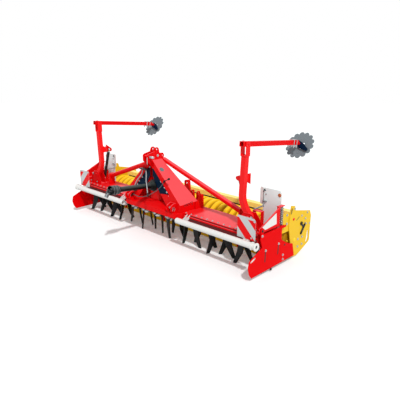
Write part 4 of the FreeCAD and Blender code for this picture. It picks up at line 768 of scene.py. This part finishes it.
class HARROW_OT_discs(Operator):
    """Cut the toothed marking discs and turn their hubs"""
    bl_idname = "harrow.discs"
    bl_label = "Marking discs"

    def execute(self, context):
        teeth = context.scene.harrow_sizes.disc_teeth
        for side, _ in SIDES:
            centre, axis = joint("marker_disc_spin_" + side)
            disc = "marker_disc_" + side
            low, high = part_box(disc)
            radius = (high.x - low.x) / 2
            bm = bmesh.new()
            circle = bmesh.ops.create_circle(bm, cap_ends=True, segments=teeth * 10, radius=1.0)
            for vert in circle["verts"]:
                angle = atan2(vert.co.y, vert.co.x)
                share = abs((angle * teeth / (2 * pi) + 0.5) % 1.0 - 0.5) * 2
                # Round lobes with a narrow notch between them.
                vert.co = vert.co * radius * (1.0 - 0.15 * share ** 2.4)
            thicken(bm, list(bm.faces), (0, 0, 0.006))
            bmesh.ops.recalc_face_normals(bm, faces=bm.faces)
            soften(bm, list(bm.verts), 0.0015, 1)
            bmesh.ops.transform(bm, matrix=aim(centre, axis), verts=bm.verts)
            new_piece("toothed_disc_" + side, bm, "grey_disc", disc, joined=False, stands_for=disc)
            bm = bmesh.new()
            lathe(bm, centre, axis, [(-0.012, 0.021), (-0.012, 0.036), (-0.004, 0.044), (0.012, 0.044),
                (0.012, 0.030), (0.012, 0.021)], 32)
            tidy_normals(bm)
            across = axis.orthogonal().normalized()
            for index in range(4):
                turn = Matrix.Rotation(index * pi / 2 + 0.4, 3, axis)
                bolt(bm, centre + turn @ across * 0.062 + axis * 0.006, axis, 0.009)
                bolt(bm, centre + turn @ across * 0.062, -axis, 0.009)
            new_piece("disc_hub_" + side, bm, "zinc", disc, joined=False)
        return {"FINISHED"}


class HARROW_OT_shaft(Operator):
    """Mould the drive shaft's guard: ribbed boot, tube and bell"""
    bl_idname = "harrow.shaft"
    bl_label = "Drive shaft guard"

    def execute(self, context):
        rim, way = joint("pto_spin")
        way = -way if way.y > 0 else way
        long, boot, tube = 0.768, 0.088, 0.0375
        start = rim - way * long
        profile = [(-0.003, 0.070), (-0.003, boot)]
        ribs, rib_pitch, rib_step = 5, 0.016, 0.0085
        for index in range(ribs):
            along = 0.006 + index * rib_pitch
            wide = boot - index * rib_step
            profile += [(along, wide - 0.001), (along + 0.003, wide), (along + 0.007, wide),
                (along + 0.009, wide - 0.010), (along + 0.013, wide - 0.010)]
        profile += [(0.098, 0.046), (0.112, tube)]
        for along in (0.20, 0.33, 0.46):
            profile += [(along, tube), (along + 0.004, 0.035), (along + 0.012, 0.035),
                (along + 0.016, tube)]
        profile += [(0.604, tube), (0.622, 0.055), (0.640, 0.057), (0.645, 0.062), (0.655, 0.062),
            (0.660, 0.058), (0.690, 0.060), (0.695, 0.065), (0.705, 0.065), (0.710, 0.061),
            (0.755, 0.064), (0.758, 0.068), (long, 0.068), (long, 0.062), (0.642, 0.040), (0.640, 0.024)]
        bm = bmesh.new()
        lathe(bm, start, way, profile, 56)
        new_piece("shaft_guard", bm, "black_plastic", soft=40, stands_for="pto_guard")
        # Thin light grey rings laid on the bell's rims are painted highlights.
        bm = bmesh.new()
        for along, wide in ((0.650, 0.0625), (0.678, 0.0600), (0.700, 0.0655), (0.735, 0.0635)):
            ring(bm, start + way * along, way, wide, 0.0032, 40)
        new_piece("bell_rim_highlights", bm, "bell_rim_highlights", soft=60)
        return {"FINISHED"}


# ---- cable and hoses
# The routes' points are those of the frame's tubes: node, radius, length, far end, points.
ROUTES = (
    ("hose_mast", 0.008, 0.388, "fitting",
     ((-0.045, -0.425, 1.050), (-0.045, -0.425, 1.002), (-0.025, -0.442, 0.957), (0.030, -0.493, 0.909),
      (0.088, -0.532, 0.883), (0.122, -0.550, 0.825), (0.128, -0.552, 0.765))),
    ("hose_web", 0.008, 0.438, "object",
     ((-0.155, -0.405, 1.050), (-0.155, -0.405, 1.000), (-0.188, -0.407, 0.948), (-0.272, -0.412, 0.872),
      (-0.335, -0.405, 0.800), (-0.370, -0.403, 0.745), (-0.370, -0.403, 0.690))),
    ("cable", 0.006, 0.804, "object",
     ((0.300, -0.392, 0.917), (0.268, -0.405, 0.859), (0.188, -0.414, 0.792), (0.098, -0.417, 0.733),
      (-0.035, -0.417, 0.662), (-0.130, -0.415, 0.628), (-0.225, -0.412, 0.604), (-0.315, -0.409, 0.598),
      (-0.400, -0.405, 0.612))),
)


class HARROW_OT_cords(Operator):
    """Lay the cable and the two sleeved hoses in front of the headstock"""
    bl_idname = "harrow.cords"
    bl_label = "Cable and hoses"

    def execute(self, context):
        slots = node_slots()
        for node, radius, length, far_end, points in ROUTES:
            curve = bpy.data.curves.new(node + "_line", "CURVE")
            curve.dimensions = "3D"
            curve.bevel_depth, curve.bevel_resolution, curve.use_fill_caps = radius, 4, True
            curve.resolution_u = 8
            spline = curve.splines.new("NURBS")
            spline.points.add(len(points) - 1)
            for control, place in zip(spline.points, points):
                control.co = (*place, 1.0)
            spline.order_u = 3
            spline.use_endpoint_u = True
            curve.materials.append(FINISH[slots[node]])
            piece = put(node + "_laid", curve)
            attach(piece, "frame")
            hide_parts(node)
        return {"FINISHED"}


# ---- bolts, pins and small fittings
class HARROW_OT_bolts(Operator):
    """Set the plated bolts of the frame: cover, guards, side plates, hinges and gearbox"""
    bl_idname = "harrow.bolts"
    bl_label = "Frame bolts"

    def execute(self, context):
        size = context.scene.harrow_sizes.bolt
        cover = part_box("deck")[1].z
        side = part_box("side_plates")[1].x
        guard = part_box("inner_guards")[0].y
        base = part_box("marker_bases")
        first, pitch, count = 0.565, 0.1005, 13
        bm = bmesh.new()
        for sign in (-1, 1):
            for index in range(count):
                bolt(bm, (sign * (first + index * pitch), -0.300, cover), Z, size * 0.8)
            side_bolts(bm, sign, side, size * 0.85, (-0.324, 0.545), (0.037, 0.343), (-0.241, 0.332),
                (0.145, 0.156), (0.148, 0.094))
            for x, z in ((0.032, 1.092), (0.211, 0.912), (0.289, 0.837), (0.337, 0.776), (0.379, 0.729)):
                bolt(bm, (sign * x, guard, z), -Y, size * 0.7)
            bolt(bm, (sign * 1.767, base[0].y, base[1].z - 0.045), -Y, size)
            for x, z in ((1.66, 0.560), (1.84, 0.560)):
                bolt(bm, (sign * x, base[0].y, z), -Y, size * 0.8)
            for y in (-0.290, -0.060):
                bolt(bm, (sign * 0.145, y, cover + 0.012), Z, size * 0.8)
        for x, y in ((0.006, -0.301), (-0.155, -0.285)):
            bolt(bm, (x, y, cover), Z, size * 0.8)
        new_piece("frame_bolts", bm, "zinc")
        return {"FINISHED"}


class HARROW_OT_pins(Operator):
    """Turn the plated link pins with their grip and linchpin rings"""
    bl_idname = "harrow.pins"
    bl_label = "Link pins"

    def execute(self, context):
        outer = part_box("link_brackets")[1].x
        across, height = PIN_LINE
        bm = bmesh.new()
        for sign in (-1, 1):
            # Sleeve ends and the stretch between the two ears of a bracket.
            for a, b in ((-0.126, -0.112), (-0.096, -0.030), (-0.014, 0.006)):
                ends = ((sign * (outer + x), across, height) for x in (a, b))
                round_bar(bm, *ends, LINK_PIN, 24)
            ring(bm, Vector((sign * (outer + 0.001), across - 0.004, height - 0.018)), X, 0.024, 0.0026)
        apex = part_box("apex")
        grip, top = apex[1].x, 1.260
        lathe(bm, Vector((grip - 0.004, -0.435, top)), X,
            [(0.0, 0.0), (0.0, TOP_PIN), (0.046, TOP_PIN), (0.048, 0.014), (0.056, 0.014), (0.060, 0.021),
            (0.078, 0.021), (0.086, 0.015), (0.087, 0.0)], 24)
        round_bar(bm, (-grip - 0.002, -0.435, top), (-grip - 0.016, -0.435, top), TOP_PIN, 20)
        strap(bm, (0.056, -0.4765, top - 0.006), (0.053, -0.4765, top - 0.100), -Y, 0.011, 0.004)
        bolt(bm, (0.0505, -0.278, 1.261), X, 0.013)
        new_piece("link_pins", bm, "zinc")
        return {"FINISHED"}


class HARROW_OT_side_fittings(Operator):
    """Add the slots, studs, blank foils and rims of the side plates and their brackets"""
    bl_idname = "harrow.side_fittings"
    bl_label = "Side plate fittings"

    def execute(self, context):
        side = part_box("side_plates")[1].x
        plate = side - 0.014
        dark, rims, foils = bmesh.new(), bmesh.new(), bmesh.new()
        for sign in (-1, 1):
            out = X * sign
            # The slots and holes are black marks, painted shade of their openings.
            side_straps(dark, sign, side, (0.037, 0.343, 0.027, 0.207, 0.020, MARK),
                (-0.241, 0.332, -0.248, 0.187, 0.020, MARK))
            strap(dark, (sign * side, 0.163, 0.287), (sign * side, 0.193, 0.287), out, 0.022, MARK,
                round_ends=False)
            round_bar(dark, (sign * (side - 0.005), -0.104, 0.054),
                (sign * (side - 0.005), -0.104, 0.024), 0.013, 16)
            side_bar(dark, sign, side, 0.006, (-0.323, 0.608), 0.017, 20, 0.014)
            side_straps(rims, sign, plate, (-0.355, 0.646, 0.045, 0.829, 0.007, 0.011))
            side_straps(foils, sign, side, (-0.532, 0.267, -0.456, 0.296, 0.020, MARK))
            corners = ((-0.318, 0.650), (-0.026, 0.764), (-0.012, 0.618), (-0.250, 0.602))
            foil(foils, [(sign * plate, y, z) for y, z in corners], out, 0.0007)
        new_piece("side_slots", dark, "black_and_painted_shade")
        new_piece("bracket_rims", rims, "red_paint")
        new_piece("bracket_foils", foils, "label_white")
        return {"FINISHED"}


class HARROW_OT_cheek_fittings(Operator):
    """Bolt the roller's cheeks and arms, and hang their depth lever"""
    bl_idname = "harrow.cheek_fittings"
    bl_label = "Roller cheek fittings"

    def execute(self, context):
        size = context.scene.harrow_sizes.bolt
        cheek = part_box("roller_cheeks")[1].x
        arm, face = cheek - 0.012, cheek + 0.001
        bright, dark, red, shadow_band = bmesh.new(), bmesh.new(), bmesh.new(), bmesh.new()
        for sign in (-1, 1):
            side_bolts(bright, sign, cheek, size * 0.8, (0.427, 0.710), (0.752, 0.587), (0.613, 0.572),
                (0.710, 0.509))
            side_bolts(bright, sign, cheek, size * 0.7, (0.829, 0.411))
            side_bolts(bright, sign, cheek, size * 0.9, (0.547, 0.251), (0.648, 0.257), (0.653, 0.151),
                (0.548, 0.142))
            side_bolts(bright, sign, arm, size * 0.9, (0.263, 0.659), (0.267, 0.538))
            side_bar(red, sign, cheek, 0.008, (0.411, 0.570), 0.020, 20, 0.016)
            side_straps(dark, sign, face, (0.610, 0.317, 0.696, 0.425, 0.032, 0.010),
                (0.670, 0.400, 0.607, 0.452, 0.026, 0.010))
            ring(dark, (sign * (face + 0.006), 0.607, 0.462), X, 0.021, 0.006)
            side_bar(bright, sign, face, 0.026, (0.704, 0.443), 0.015, 16, 0.012)
            # Two flat black marks on the cheek are painted shade of a slot and a gap.
            side_straps(dark, sign, cheek, (0.488, 0.536, 0.550, 0.568, 0.010, MARK),
                (0.366, 0.722, 0.350, 0.660, 0.016, MARK))
        # Clamping bands of the scrapers' beam, and a black band under it that is painted shadow between the beam
        # and the rings.
        low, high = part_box("scraper_beam")
        for sign in (-1, 1):
            for x in (0.28, 0.84, 1.40):
                block(bright, (sign * x - 0.005, low.y - 0.003, low.z - 0.003),
                    (sign * x + 0.005, high.y + 0.003, high.z + 0.003))
        block(shadow_band, (-1.90, low.y - 0.006, low.z - 0.014), (1.90, low.y + 0.010, low.z + 0.026))
        new_pieces("roller_frame", (bright, "roller_frame_bolts", "zinc"),
            (dark, "depth_levers_and_slot_shade", "black_paint"), (shadow_band, "beam_painted_shadow", "black_and_painted_shade"),
            (red, "cheek_pins", "red_paint"))
        return {"FINISHED"}


class HARROW_OT_front_lips(Operator):
    """Bend the double lip under the cover's front edge and close the white bars' outer ends"""
    bl_idname = "harrow.front_lips"
    bl_label = "Front lips and bar ends"

    def execute(self, context):
        front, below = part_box("deck")[0].y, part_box("trough")[0].y
        lips, lip_shadows, trough_shade, ends, mouths = (bmesh.new() for _ in range(5))
        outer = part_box("front_bars")[1].x
        for sign in (-1, 1):
            a, b = sorted((sign * 0.665, sign * 1.920))
            edge = block(lips, (a, front - 0.020, 0.479), (b, front - 0.0002, 0.499))
            soften(lips, edge, RIM)
            # Painted shadow: a black line between the cover's edge and the lips.
            block(lip_shadows, (a, front - 0.0012, 0.5025), (b, front - 0.0002, 0.512))
            # Painted shade: a dark red strip on the trough's front under the lips.
            block(trough_shade, (a, below - 0.0012, 0.420), (b, below - 0.0002, 0.466))
            at = Vector((sign * (outer + 0.0005), *BAR_LINE))
            lathe(ends, at, X * sign, [(0.0, 0.0), (0.0, 0.0395), (0.046, 0.0395), (0.047, 0.050),
                (0.049, 0.052), (0.058, 0.052), (0.060, 0.050), (0.060, 0.022), (0.052, 0.020),
                (0.052, 0.0)], 32)
            # Painted shade: a black disc deep in each bar's open end.
            round_bar(mouths, at + X * sign * 0.0515, at + X * sign * 0.0535, 0.019, 20)
        new_pieces("frame", (lips, "cover_lips", "red_paint"), (lip_shadows, "lip_painted_shadows", "black_and_painted_shade"),
            (trough_shade, "painted_shade_strips", "painted_shade_red"), (ends, "bar_ends", "white_paint"),
            (mouths, "bar_mouths", "black_and_painted_shade"))
        return {"FINISHED"}


class HARROW_OT_levelling(Operator):
    """Hang the levelling strip behind the rotors"""
    bl_idname = "harrow.levelling"
    bl_label = "Levelling strip"

    def execute(self, context):
        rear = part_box("trough")[1].y
        strip, arms = bmesh.new(), bmesh.new()
        edge = block(strip, (-1.895, rear + 0.0125, 0.060), (1.895, rear + 0.0205, 0.142))
        soften(strip, edge, RIM)
        count, pitch = 8, 0.52
        for index in range(count):
            x = (index - (count - 1) / 2) * pitch
            block(arms, (x - 0.020, rear + 0.0005, 0.080), (x + 0.020, rear + 0.0125, 0.480))
            bolt(arms, (x, rear + 0.0125, 0.400), Y, 0.010)
        new_piece("levelling_strip", strip, "yellow_paint")
        new_piece("strip_hangers", arms, "red_paint")
        return {"FINISHED"}


class HARROW_OT_badges(Operator):
    """Fix the blank badges of the headstock and the dark holes of its webs"""
    bl_idname = "harrow.badges"
    bl_label = "Badges and holes"

    def execute(self, context):
        bm = bmesh.new()
        for sign in (-1, 1):
            way = Vector((0.7075 * sign, 0, 0.7068))
            at = Vector((0.178 * sign, -0.315, 1.077))
            round_bar(bm, at - way * 0.004, at + way * 0.0025, 0.036, 32)
        new_piece("headstock_badges", bm, "label_grey", joined=False)
        web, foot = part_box("legs")[0].y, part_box("legs")[1].x
        # The holes and slots of the webs are black marks, painted shade of their openings.
        bm = bmesh.new()
        for sign in (-1, 1):
            for x, z in ((0.408, 0.633), (0.486, 0.634)):
                round_bar(bm, (sign * x, web, z), (sign * x, web - MARK, z), 0.011, 20)
            for y, z in ((-0.286, 0.629), (-0.250, 0.632), (-0.214, 0.635), (-0.178, 0.638)):
                side_straps(bm, sign, foot, (y - 0.009, z - 0.005, y + 0.009, z + 0.003, 0.011, MARK))
            side_straps(bm, sign, foot, (-0.138, 0.600, -0.138, 0.655, 0.012, MARK))
        new_piece("web_holes", bm, "black_and_painted_shade", joined=False)
        return {"FINISHED"}


class HARROW_OT_boards(Operator):
    """Fold the edges of the warning boards and add their hooks, bolts and reflectors"""
    bl_idname = "harrow.boards"
    bl_label = "Board fittings"

    def execute(self, context):
        rear_low, rear_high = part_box("rear_boards")
        front_low, front_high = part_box("front_boards")
        back, front = rear_low.y, front_low.y
        edges, amber, dark, bright = bmesh.new(), bmesh.new(), bmesh.new(), bmesh.new()
        for sign in (-1, 1):
            inner = rear_high.x - BOARD
            flap = bmesh.new()
            corners = ((inner - 0.044, 0.772), (inner + 0.003, 0.772), (inner + 0.003, 1.004),
                (inner - 0.044, 1.004))
            foil(flap, [(sign * x, back - 0.002, z) for x, z in corners], -Y, 0.005, 0.018)
            held = new_mesh("flap", flap)
            edges.from_mesh(held)
            bpy.data.meshes.remove(held)
            for a, low, b, high, wide, thick in ((0.006, 0.790, 0.006, 0.965, 0.009, 0.0008),
                    (0.004, 0.945, 0.020, 0.978, 0.010, 0.008),
                    (0.020, 0.978, 0.034, 0.962, 0.009, 0.008)):
                ends = ((sign * (inner + a), back, low), (sign * (inner + b), back, high))
                strap(dark, *ends, -Y, wide, thick)
            strap(edges, (sign * 1.768, front, 0.7485), (sign * 1.812, front, 0.7485), -Y, 0.003, 0.0008)
            bolt(bright, (sign * (inner + 0.042), back, 0.913), -Y, 0.008)
            lathe(amber, Vector((sign * (rear_high.x - 0.030), back, rear_high.z - 0.061)), -Y,
                [(0.0, 0.0), (0.0, 0.024), (0.004, 0.024), (0.006, 0.021), (0.008, 0.012), (0.0085, 0.0)],
                28)
            bolt(bright, (sign * (front_high.x - 0.018), front, 0.728), -Y, 0.010)
            bolt(bright, (sign * (front_high.x - 0.060), front, front_low.z + 0.030), -Y, 0.008)
        new_pieces("frame", (edges, "board_edges", "white_paint"), (amber, "amber_reflectors", "amber"),
            (dark, "board_hooks", "black_and_painted_shade"), (bright, "board_bolts", "zinc"))
        return {"FINISHED"}


class HARROW_OT_marker_fittings(Operator):
    """Bolt the track markers: pivots, clamps and lock nuts"""
    bl_idname = "harrow.marker_fittings"
    bl_label = "Marker fittings"

    def execute(self, context):
        size = context.scene.harrow_sizes.bolt
        for side, _ in SIDES:
            at, _ = joint("marker_fold_" + side)
            knee, _ = joint("marker_unfold_" + side)
            bm = bmesh.new()
            bolt(bm, (at.x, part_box("marker_post_" + side)[0].y, at.z), -Y, size * 1.1)
            for way in (-1, 1):
                bolt(bm, (knee.x + way * 0.034, knee.y, knee.z), X * way, size)
            new_piece("post_bolts_" + side, bm, "zinc", "marker_post_" + side)
            bm = bmesh.new()
            # U-bolts round the tube, close to its outer end, with their nuts underneath.
            droop, half = radians(MARKER_DROOP), MARKER_HALF
            along = Vector((0, cos(droop), -sin(droop)))
            under = Vector((0, -sin(droop), -cos(droop)))
            for reach in (1.035, 1.105):
                middle = knee + along * reach
                for way in (-1, 1):
                    leg = middle + X * way * (half + 0.006)
                    round_bar(bm, leg - under * (half + 0.005), leg + under * (half + 0.040), 0.006, 12)
                    round_bar(bm, leg + under * (half + 0.008), leg + under * (half + 0.020), 0.012, 6)
                strap(bm, middle - X * (half + 0.010) + under * half,
                    middle + X * (half + 0.010) + under * half, under, 0.026, 0.008, round_ends=False)
                round_bar(bm, middle - X * (half + 0.006) - under * (half + 0.005),
                    middle + X * (half + 0.006) - under * (half + 0.005), 0.006, 12)
            new_piece("clamp_bolts_" + side, bm, "zinc", "marker_arm_" + side)
        return {"FINISHED"}


# ---- stage
class HARROW_OT_stage(Operator):
    """Set up the pale floor, the soft studio light and the camera"""
    bl_idname = "harrow.stage"
    bl_label = "Stage and camera"

    def execute(self, context):
        scene = context.scene
        scene.view_settings.view_transform = "Standard"
        bm = bmesh.new()
        bmesh.ops.create_grid(bm, x_segments=1, y_segments=1, size=30.0)
        floor = put("floor", new_mesh("floor", bm))
        material, tree, _, _ = blank_material("matt_white_studio_floor")
        seen = add(tree, "LightPath").outputs
        matt = add(tree, "BsdfDiffuse", {"Color": linear("#F0F4F4")})
        # The camera sees the floor a little lighter than it lights the machine.
        lift = reckon(tree, "MULTIPLY", seen["Is Camera Ray"], FLOOR_GLOW)
        glow = add(tree, "Emission", {"Color": (1, 1, 1, 1), "Strength": lift})
        add(tree, "OutputMaterial", {"Surface": add(tree, "AddShader", {0: matt, 1: glow})})
        floor.data.materials.append(material)

        world = bpy.data.worlds.new("studio")
        scene.world = world
        tree = empty_tree(world)
        # The room is white where it is seen, mirrored or seen through, and lights the machine less.
        seen = add(tree, "LightPath").outputs
        clear = reckon(tree, "MAXIMUM", seen["Is Camera Ray"], seen["Is Glossy Ray"])
        through = reckon(tree, "MAXIMUM", clear, seen["Is Transmission Ray"])
        sky = add(tree, "Background", {"Color": (1, 1, 1, 1),
            "Strength": ranged(tree, through, ROOM_LIGHT, 1.0)})
        add(tree, "OutputWorld", {"Surface": sky})

        # One sun from the machine's front left, +X and -Y, which lays the shadows behind it.
        lamp = bpy.data.lights.new("sun", "SUN")
        lamp.energy, lamp.angle = 2.3, radians(3)
        put("sun", lamp, (-0.74, 0.42, -1.0))

        lens = bpy.data.cameras.new("camera")
        lens.lens, lens.sensor_width = 38.88, 36.0
        lens.clip_start, lens.clip_end = 0.1, 100.0
        azimuth, pitch = radians(44.16), radians(16.65)
        look = Vector((-sin(azimuth) * cos(pitch), cos(azimuth) * cos(pitch), -sin(pitch)))
        scene.camera = put("camera", lens, look, (4.834, -4.315, 2.445))
        return {"FINISHED"}


class HARROW_PT_panel(Panel):
    """Sizes, colours and steps of the power harrow"""
    bl_idname = "HARROW_PT_panel"
    bl_label = "Power harrow"
    bl_space_type = "VIEW_3D"
    bl_region_type = "UI"
    bl_category = "Harrow"

    def draw(self, context):
        for group in (context.scene.harrow_looks, context.scene.harrow_sizes):
            for name in group.__annotations__:
                self.layout.prop(group, name)
        for operator in OPERATORS:
            self.layout.operator(operator.bl_idname)


OPERATORS = (HARROW_OT_plates, HARROW_OT_rotors, HARROW_OT_roller, HARROW_OT_springs, HARROW_OT_rams,
             HARROW_OT_discs, HARROW_OT_shaft, HARROW_OT_cords, HARROW_OT_bolts, HARROW_OT_pins,
             HARROW_OT_side_fittings, HARROW_OT_cheek_fittings, HARROW_OT_front_lips, HARROW_OT_levelling,
             HARROW_OT_badges, HARROW_OT_boards,
             HARROW_OT_marker_fittings, HARROW_OT_stage)
CLASSES = (HarrowLooks, HarrowSizes, *OPERATORS, HARROW_PT_panel)


def register():
    for one in CLASSES:
        bpy.utils.register_class(one)
    bpy.types.Scene.harrow_looks = PointerProperty(type=HarrowLooks)
    bpy.types.Scene.harrow_sizes = PointerProperty(type=HarrowSizes)


def unregister():
    del bpy.types.Scene.harrow_sizes
    del bpy.types.Scene.harrow_looks
    for one in reversed(CLASSES):
        bpy.utils.unregister_class(one)


def main():
    register()
    make_finishes()
    for operator in OPERATORS:
        group, name = operator.bl_idname.split(".")
        getattr(getattr(bpy.ops, group), name)()


if __name__ == "__main__":
    main()
